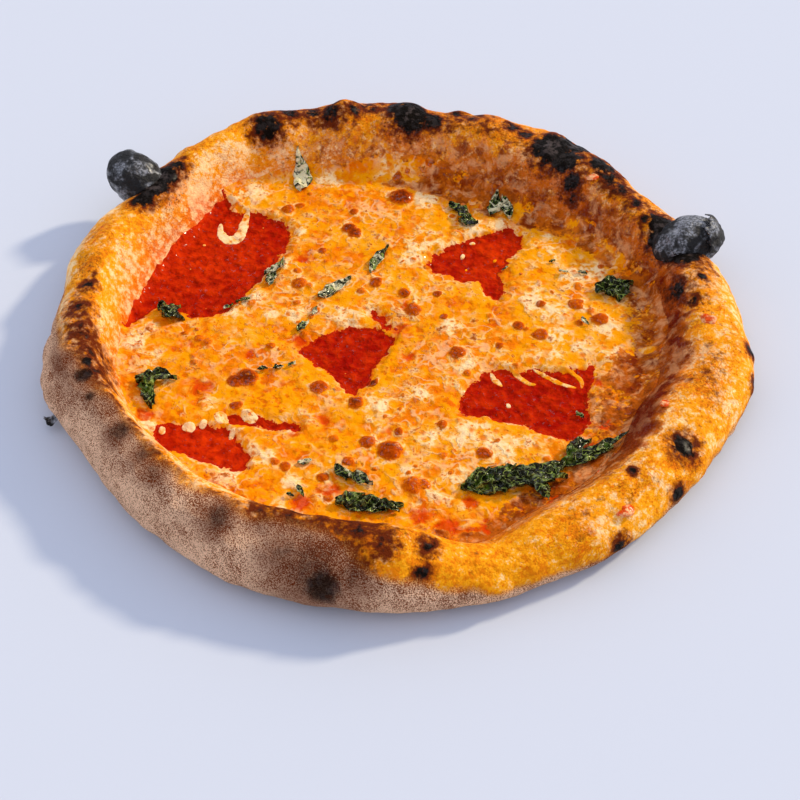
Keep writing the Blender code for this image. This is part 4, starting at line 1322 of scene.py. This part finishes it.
def char_material(look):
    material, web = new_material("burnt_blister")
    at = web.coordinates()
    # Blue-grey patches on the black where the coat is glossy: ash and painted sheen
    patches = blotches(web, at, 90.0, 0.46, 0.60)
    grain = web.noise(at, 900.0, 3.0, 0.65)
    ash_and_sheen = web.sum("MULTIPLY", patches, web.rise(grain, 0.40, 0.62))
    black = web.mix(web.sum("MULTIPLY", ash_and_sheen, 0.78), look.char, (0.33, 0.33, 0.36))
    web.surface({
        "Base Color": black, "Roughness": web.sum("MULTIPLY_ADD", patches, -0.20, 0.55),
        "Specular IOR Level": 0.30, "Coat Weight": web.sum("MULTIPLY", patches, 0.9), "Coat Roughness": 0.34,
        "Normal": web.bump(relief(web, at, 420.0, 1100.0, 0.5), 0.0016),
    })
    return material


# ---------------------------------------------------------------------------------------------
# Basil

LEAF_ROWS, LEAF_COLUMNS = 34, 17


def add_blade(bm, layers, trees, centre, blade, veil, seed):
    """One wilted blade: a grid narrowed to an oval, pleated along its length, crumpled and draped."""
    (shift_x, shift_y), bearing, length, width, lift, pleats = blade
    made = bmesh.ops.create_grid(bm, x_segments=LEAF_ROWS, y_segments=LEAF_COLUMNS, size=0.5)["verts"]
    turn = Matrix.Rotation(math.radians(bearing), 3, "Z")
    shift = Vector((seed * 1.7, seed * 0.6, seed))
    bend = 0.16 * length * noise.noise(shift)
    for vertex in made:
        along, across = vertex.co.x, 2 * vertex.co.y
        outline = 0.04 + math.sin(math.pi * (along + 0.5) ** 0.8) ** 0.85
        outline *= 1 + 0.22 * noise.noise(Vector((along * 6, across, seed)))
        sway = bend * (1 - 4 * along * along) + 0.10 * width * noise.noise(Vector((along * 5, 3.0, seed)))
        local = Vector((along * length, across * width / 2 * outline + sway, 0))
        twist = 1.3 * noise.noise(Vector((along * 2.2, 0.7, seed)))
        pleat = 0.13 * width * math.cos(TAU * pleats * (across / 2 + twist))
        crease = 0.16 * width * noise.noise(shift + Vector((local.x / (0.9 * width), across * 1.4, 0)))
        crumple = 0.05 * width * noise.noise(shift + local / 0.0012)
        curl = 0.20 * width * across * across * noise.noise(Vector((
            along * 3, 0.5 + seed, round(across))))
        local += noise.noise_vector(shift + local / (0.5 * width)) * (0.12 * width)
        flat = turn @ local + Vector((centre.x + shift_x, centre.y + shift_y, 0))
        ground = top_of(trees, flat.x, flat.y)
        rise = lift * (1 - 3.2 * along * along) + 0.0007 + pleat + crease + crumple + curl
        low = -0.0004 if veil > 0.2 else 0.0
        vertex.co = (flat.x, flat.y, ground + LEAF_CLEARANCE + max(low, rise))
        vertex[layers["veil"]] = veil
        edge = smooth(abs(across), 0.80, 1.0)
        vertex[layers["rib"]] = max(
            smooth(abs(across), 0.16, 0.02), 0.8 * edge, smooth(pleat / width, 0.05, 0.13))


def leaves(blades, trees, seed):
    """Several blades in one mesh, each with its thickness."""
    bm = bmesh.new()
    layers = {name: bm.verts.layers.float.new(name) for name in ("veil", "rib")}
    for number, (centre, blade, veil) in enumerate(blades):
        add_blade(bm, layers, trees, centre, blade, veil, seed + 0.37 * number)
    bmesh.ops.recalc_face_normals(bm, faces=bm.faces)
    bmesh.ops.solidify(bm, geom=bm.faces[:], thickness=LEAF_THICKNESS)
    return bm


def build_basil(name, veil, blades, trees, seed):
    lowest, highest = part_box(name)
    return leaves([((lowest + highest) / 2, blade, veil) for blade in blades], trees, seed)


def basil_material(look):
    material, web = new_material("wilted_basil")
    at = web.coordinates()
    veil, rib = web.attribute("veil"), web.attribute("rib")
    fresh = blotches(web, at, 130.0, 0.52, 0.68)
    leaf = web.mix(web.sum("MULTIPLY", fresh, 0.9), look.dark, look.green)
    streaks = web.noise(at, 620.0, 3.0, 0.6, 0.8)
    lines = web.sum("MULTIPLY", rib, web.rise(streaks, 0.44, 0.66))
    leaf = web.mix(web.sum("MULTIPLY", lines, web.sum("MULTIPLY_ADD", fresh, 0.4, 0.5)), leaf, look.vein)
    creases = web.sum("COMPARE", web.noise(at, 200.0, 1.0, 0.5, 0.5), 0.5, 0.018)
    leaf = web.mix(web.sum("MULTIPLY", creases, 0.75), leaf, look.vein)
    burnt = blotches(web, at, 240.0, 0.50, 0.62)
    leaf = web.mix(web.sum("MULTIPLY", burnt, 0.75), leaf, srgb(26, 17, 6))
    smears = web.noise(at, 240.0, 3.0, 0.55, 1.0)
    covered = web.rise(web.sum("MULTIPLY_ADD", veil, 0.36, smears), 0.63, 0.77)
    leaf = web.mix(
        web.sum("MULTIPLY", covered, web.sum("MULTIPLY", web.rise(veil, 0.02, 0.30), 0.85)), leaf,
        look.veil)
    web.surface({
        "Base Color": leaf, "Roughness": web.sum("MULTIPLY_ADD", fresh, 0.10, 0.26),
        "Specular IOR Level": 0.12, "Specular Tint": (1.0, 0.95, 0.60),
        "Coat Weight": web.rise(streaks, 0.52, 0.57), "Coat Roughness": 0.18,
        "Normal": web.bump(relief(web, at, 600.0, 1700.0, 0.3), 0.0014),
    })
    return material


# ---------------------------------------------------------------------------------------------
# Operators


class PIZZA_OT_dough(bpy.types.Operator):
    """Builds the crust with its puffy, charred and floury rim."""

    bl_idname = "pizza.dough"
    bl_label = "Dough"

    def execute(self, context):
        look = context.scene.pizza_dough
        finished(build_dough(look), "crust_surface", dough_material(look), ("crust",))
        return {"FINISHED"}


class PIZZA_OT_blisters(bpy.types.Operator):
    """Builds the two burst black blisters that stand off the rim."""

    bl_idname = "pizza.blisters"
    bl_label = "Burst blisters"

    def execute(self, context):
        burnt = char_material(context.scene.pizza_dough)
        finished(
            build_blister(LEFT_BLISTER, LEFT_PLANES, 0.55, 1.3), "burst_blister_left", burnt)
        finished(
            build_blister(RIGHT_BLISTER, RIGHT_PLANES, 0.45, 4.1), "burst_blister_right", burnt)
        flake = finished(build_flake(RIGHT_BLISTER), "burst_blister_flake", burnt)
        wall = flake.modifiers.new("thickness", "SOLIDIFY")
        wall.thickness = 0.0006
        finished(build_crumb(), "charred_crumb", burnt)
        return {"FINISHED"}


class PIZZA_OT_sauce(bpy.types.Operator):
    """Builds the lumpy tomato sauce. The dough comes first."""

    bl_idname = "pizza.sauce"
    bl_label = "Sauce"

    def execute(self, context):
        look = context.scene.pizza_sauce
        finished(build_sauce(look), "sauce_surface", sauce_material(look), ("sauce",))
        finished(build_tomato_bits(), "tomato_bits", bpy.data.materials["baked_dough"])
        return {"FINISHED"}


class PIZZA_OT_cheese(bpy.types.Operator):
    """Builds the melted cheese with its pools and blisters. The dough comes first."""

    bl_idname = "pizza.cheese"
    bl_label = "Cheese"

    def execute(self, context):
        look = context.scene.pizza_cheese
        material = cheese_material(look, context.scene.pizza_dough, context.scene.pizza_sauce)
        finished(build_cheese(look), "cheese_surface", material, ("cheese",))
        drips = build_drips(surface_of("sauce_surface", "cheese_surface"))
        finished(drips, "cheese_drips", material)
        return {"FINISHED"}


class PIZZA_OT_basil(bpy.types.Operator):
    """Builds the wilted basil leaves and lays them on the cheese and the rim."""

    bl_idname = "pizza.basil"
    bl_label = "Basil"

    def execute(self, context):
        material = basil_material(context.scene.pizza_basil)
        trees = surface_of("crust_surface", "sauce_surface", "cheese_surface")
        for number, (name, veil, blades) in enumerate(BASIL):
            bm = build_basil(name, veil, blades, trees, 3.1 * (number + 1))
            finished(bm, name + "_leaf", material, (name,))
        bits = [
            (Vector((x, y, 0)), ((0.0, 0.0), bearing, length, 0.45 * length, 0.0003, 1.0), 0.35)
            for x, y, length, bearing in HERB_BITS
        ]
        finished(leaves(bits, trees, 50), "basil_bits", material)
        return {"FINISHED"}


class PIZZA_OT_stage(bpy.types.Operator):
    """Sets the floor, the lights and the camera."""

    bl_idname = "pizza.stage"
    bl_label = "Stage"

    def execute(self, context):
        look = context.scene.pizza_stage
        build_floor(look)
        build_lights(context.scene, look)
        build_camera(context.scene, look)
        return {"FINISHED"}


# ---------------------------------------------------------------------------------------------
# Stage

FLOOR_REACH = 3.0
FLOOR_GAP = 0.0002
CAMERA_TARGET = Vector((0, -0.022, 0.012))
CAMERA_DISTANCE = 0.6991
CAMERA_ELEVATION = math.radians(45.3)
SENSOR_WIDTH = 36
VIEW_SHIFT = (0.0025, -0.0475)
KEY_BEARING, KEY_ELEVATION = 31, 30.5


def build_floor(look):
    bm = bmesh.new()
    bmesh.ops.create_grid(bm, x_segments=1, y_segments=1, size=FLOOR_REACH)
    bmesh.ops.translate(bm, verts=bm.verts, vec=(0, 0, -FLOOR_GAP))
    mesh = bpy.data.meshes.new("floor")
    bm.to_mesh(mesh)
    bm.free()
    material, web = new_material("pale_floor")
    web.surface({"Base Color": look.floor, "Roughness": 0.75, "Specular IOR Level": 0.3})
    mesh.materials.append(material)
    floor = bpy.data.objects.new("floor", mesh)
    bpy.context.scene.collection.objects.link(floor)


def aim(thing, place, target):
    thing.location = place
    thing.rotation_mode = "QUATERNION"
    thing.rotation_quaternion = (target - place).to_track_quat("-Z", "Y")


def build_lights(scene, look):
    lamp = bpy.data.lights.new("key", "SUN")
    lamp.energy = look.key_strength
    lamp.color = look.key
    lamp.angle = look.key_angle
    key = bpy.data.objects.new("key", lamp)
    scene.collection.objects.link(key)
    turn, rise = math.radians(KEY_BEARING), math.radians(KEY_ELEVATION)
    direction = Vector((math.cos(turn) * math.cos(rise), math.sin(turn) * math.cos(rise), math.sin(rise)))
    aim(key, direction, Vector((0, 0, 0)))
    world = bpy.data.worlds.new("sky")
    world.use_nodes = True
    background = world.node_tree.nodes["Background"]
    background.inputs["Color"].default_value = (*look.sky, 1)
    background.inputs["Strength"].default_value = look.sky_strength
    scene.world = world
    scene.view_settings.view_transform = "Standard"


def build_camera(scene, look):
    data = bpy.data.cameras.new("camera")
    data.lens = look.lens
    data.sensor_width = SENSOR_WIDTH
    data.shift_x, data.shift_y = VIEW_SHIFT
    camera = bpy.data.objects.new("camera", data)
    scene.collection.objects.link(camera)
    back = Vector((0, -math.cos(CAMERA_ELEVATION), math.sin(CAMERA_ELEVATION)))
    aim(camera, CAMERA_TARGET + back * CAMERA_DISTANCE, CAMERA_TARGET)
    scene.camera = camera


class PIZZA_PT_panel(bpy.types.Panel):
    """Lists the pizza's pieces and their settings."""

    bl_idname = "PIZZA_PT_panel"
    bl_label = "Margherita pizza"
    bl_space_type = "VIEW_3D"
    bl_region_type = "UI"
    bl_category = "Pizza"

    def draw(self, context):
        for operator in OPERATORS:
            self.layout.operator(operator.bl_idname)
        for name, group in SETTINGS.items():
            settings = getattr(context.scene, name)
            box = self.layout.box()
            for prop in group.__annotations__:
                box.prop(settings, prop)


SETTINGS = {
    "pizza_dough": PizzaDough,
    "pizza_sauce": PizzaSauce,
    "pizza_cheese": PizzaCheese,
    "pizza_basil": PizzaBasil,
    "pizza_stage": PizzaStage,
}
OPERATORS = (
    PIZZA_OT_dough, PIZZA_OT_blisters, PIZZA_OT_sauce, PIZZA_OT_cheese, PIZZA_OT_basil, PIZZA_OT_stage,
)


def register():
    for name, group in SETTINGS.items():
        bpy.utils.register_class(group)
        setattr(bpy.types.Scene, name, PointerProperty(type=group))
    for kind in (*OPERATORS, PIZZA_PT_panel):
        bpy.utils.register_class(kind)


def unregister():
    for kind in reversed((*OPERATORS, PIZZA_PT_panel)):
        bpy.utils.unregister_class(kind)
    for name, group in reversed(SETTINGS.items()):
        delattr(bpy.types.Scene, name)
        bpy.utils.unregister_class(group)


def main():
    register()
    bpy.ops.pizza.dough()
    bpy.ops.pizza.blisters()
    bpy.ops.pizza.sauce()
    bpy.ops.pizza.cheese()
    bpy.ops.pizza.basil()
    bpy.ops.pizza.stage()


if __name__ == "__main__":
    main()
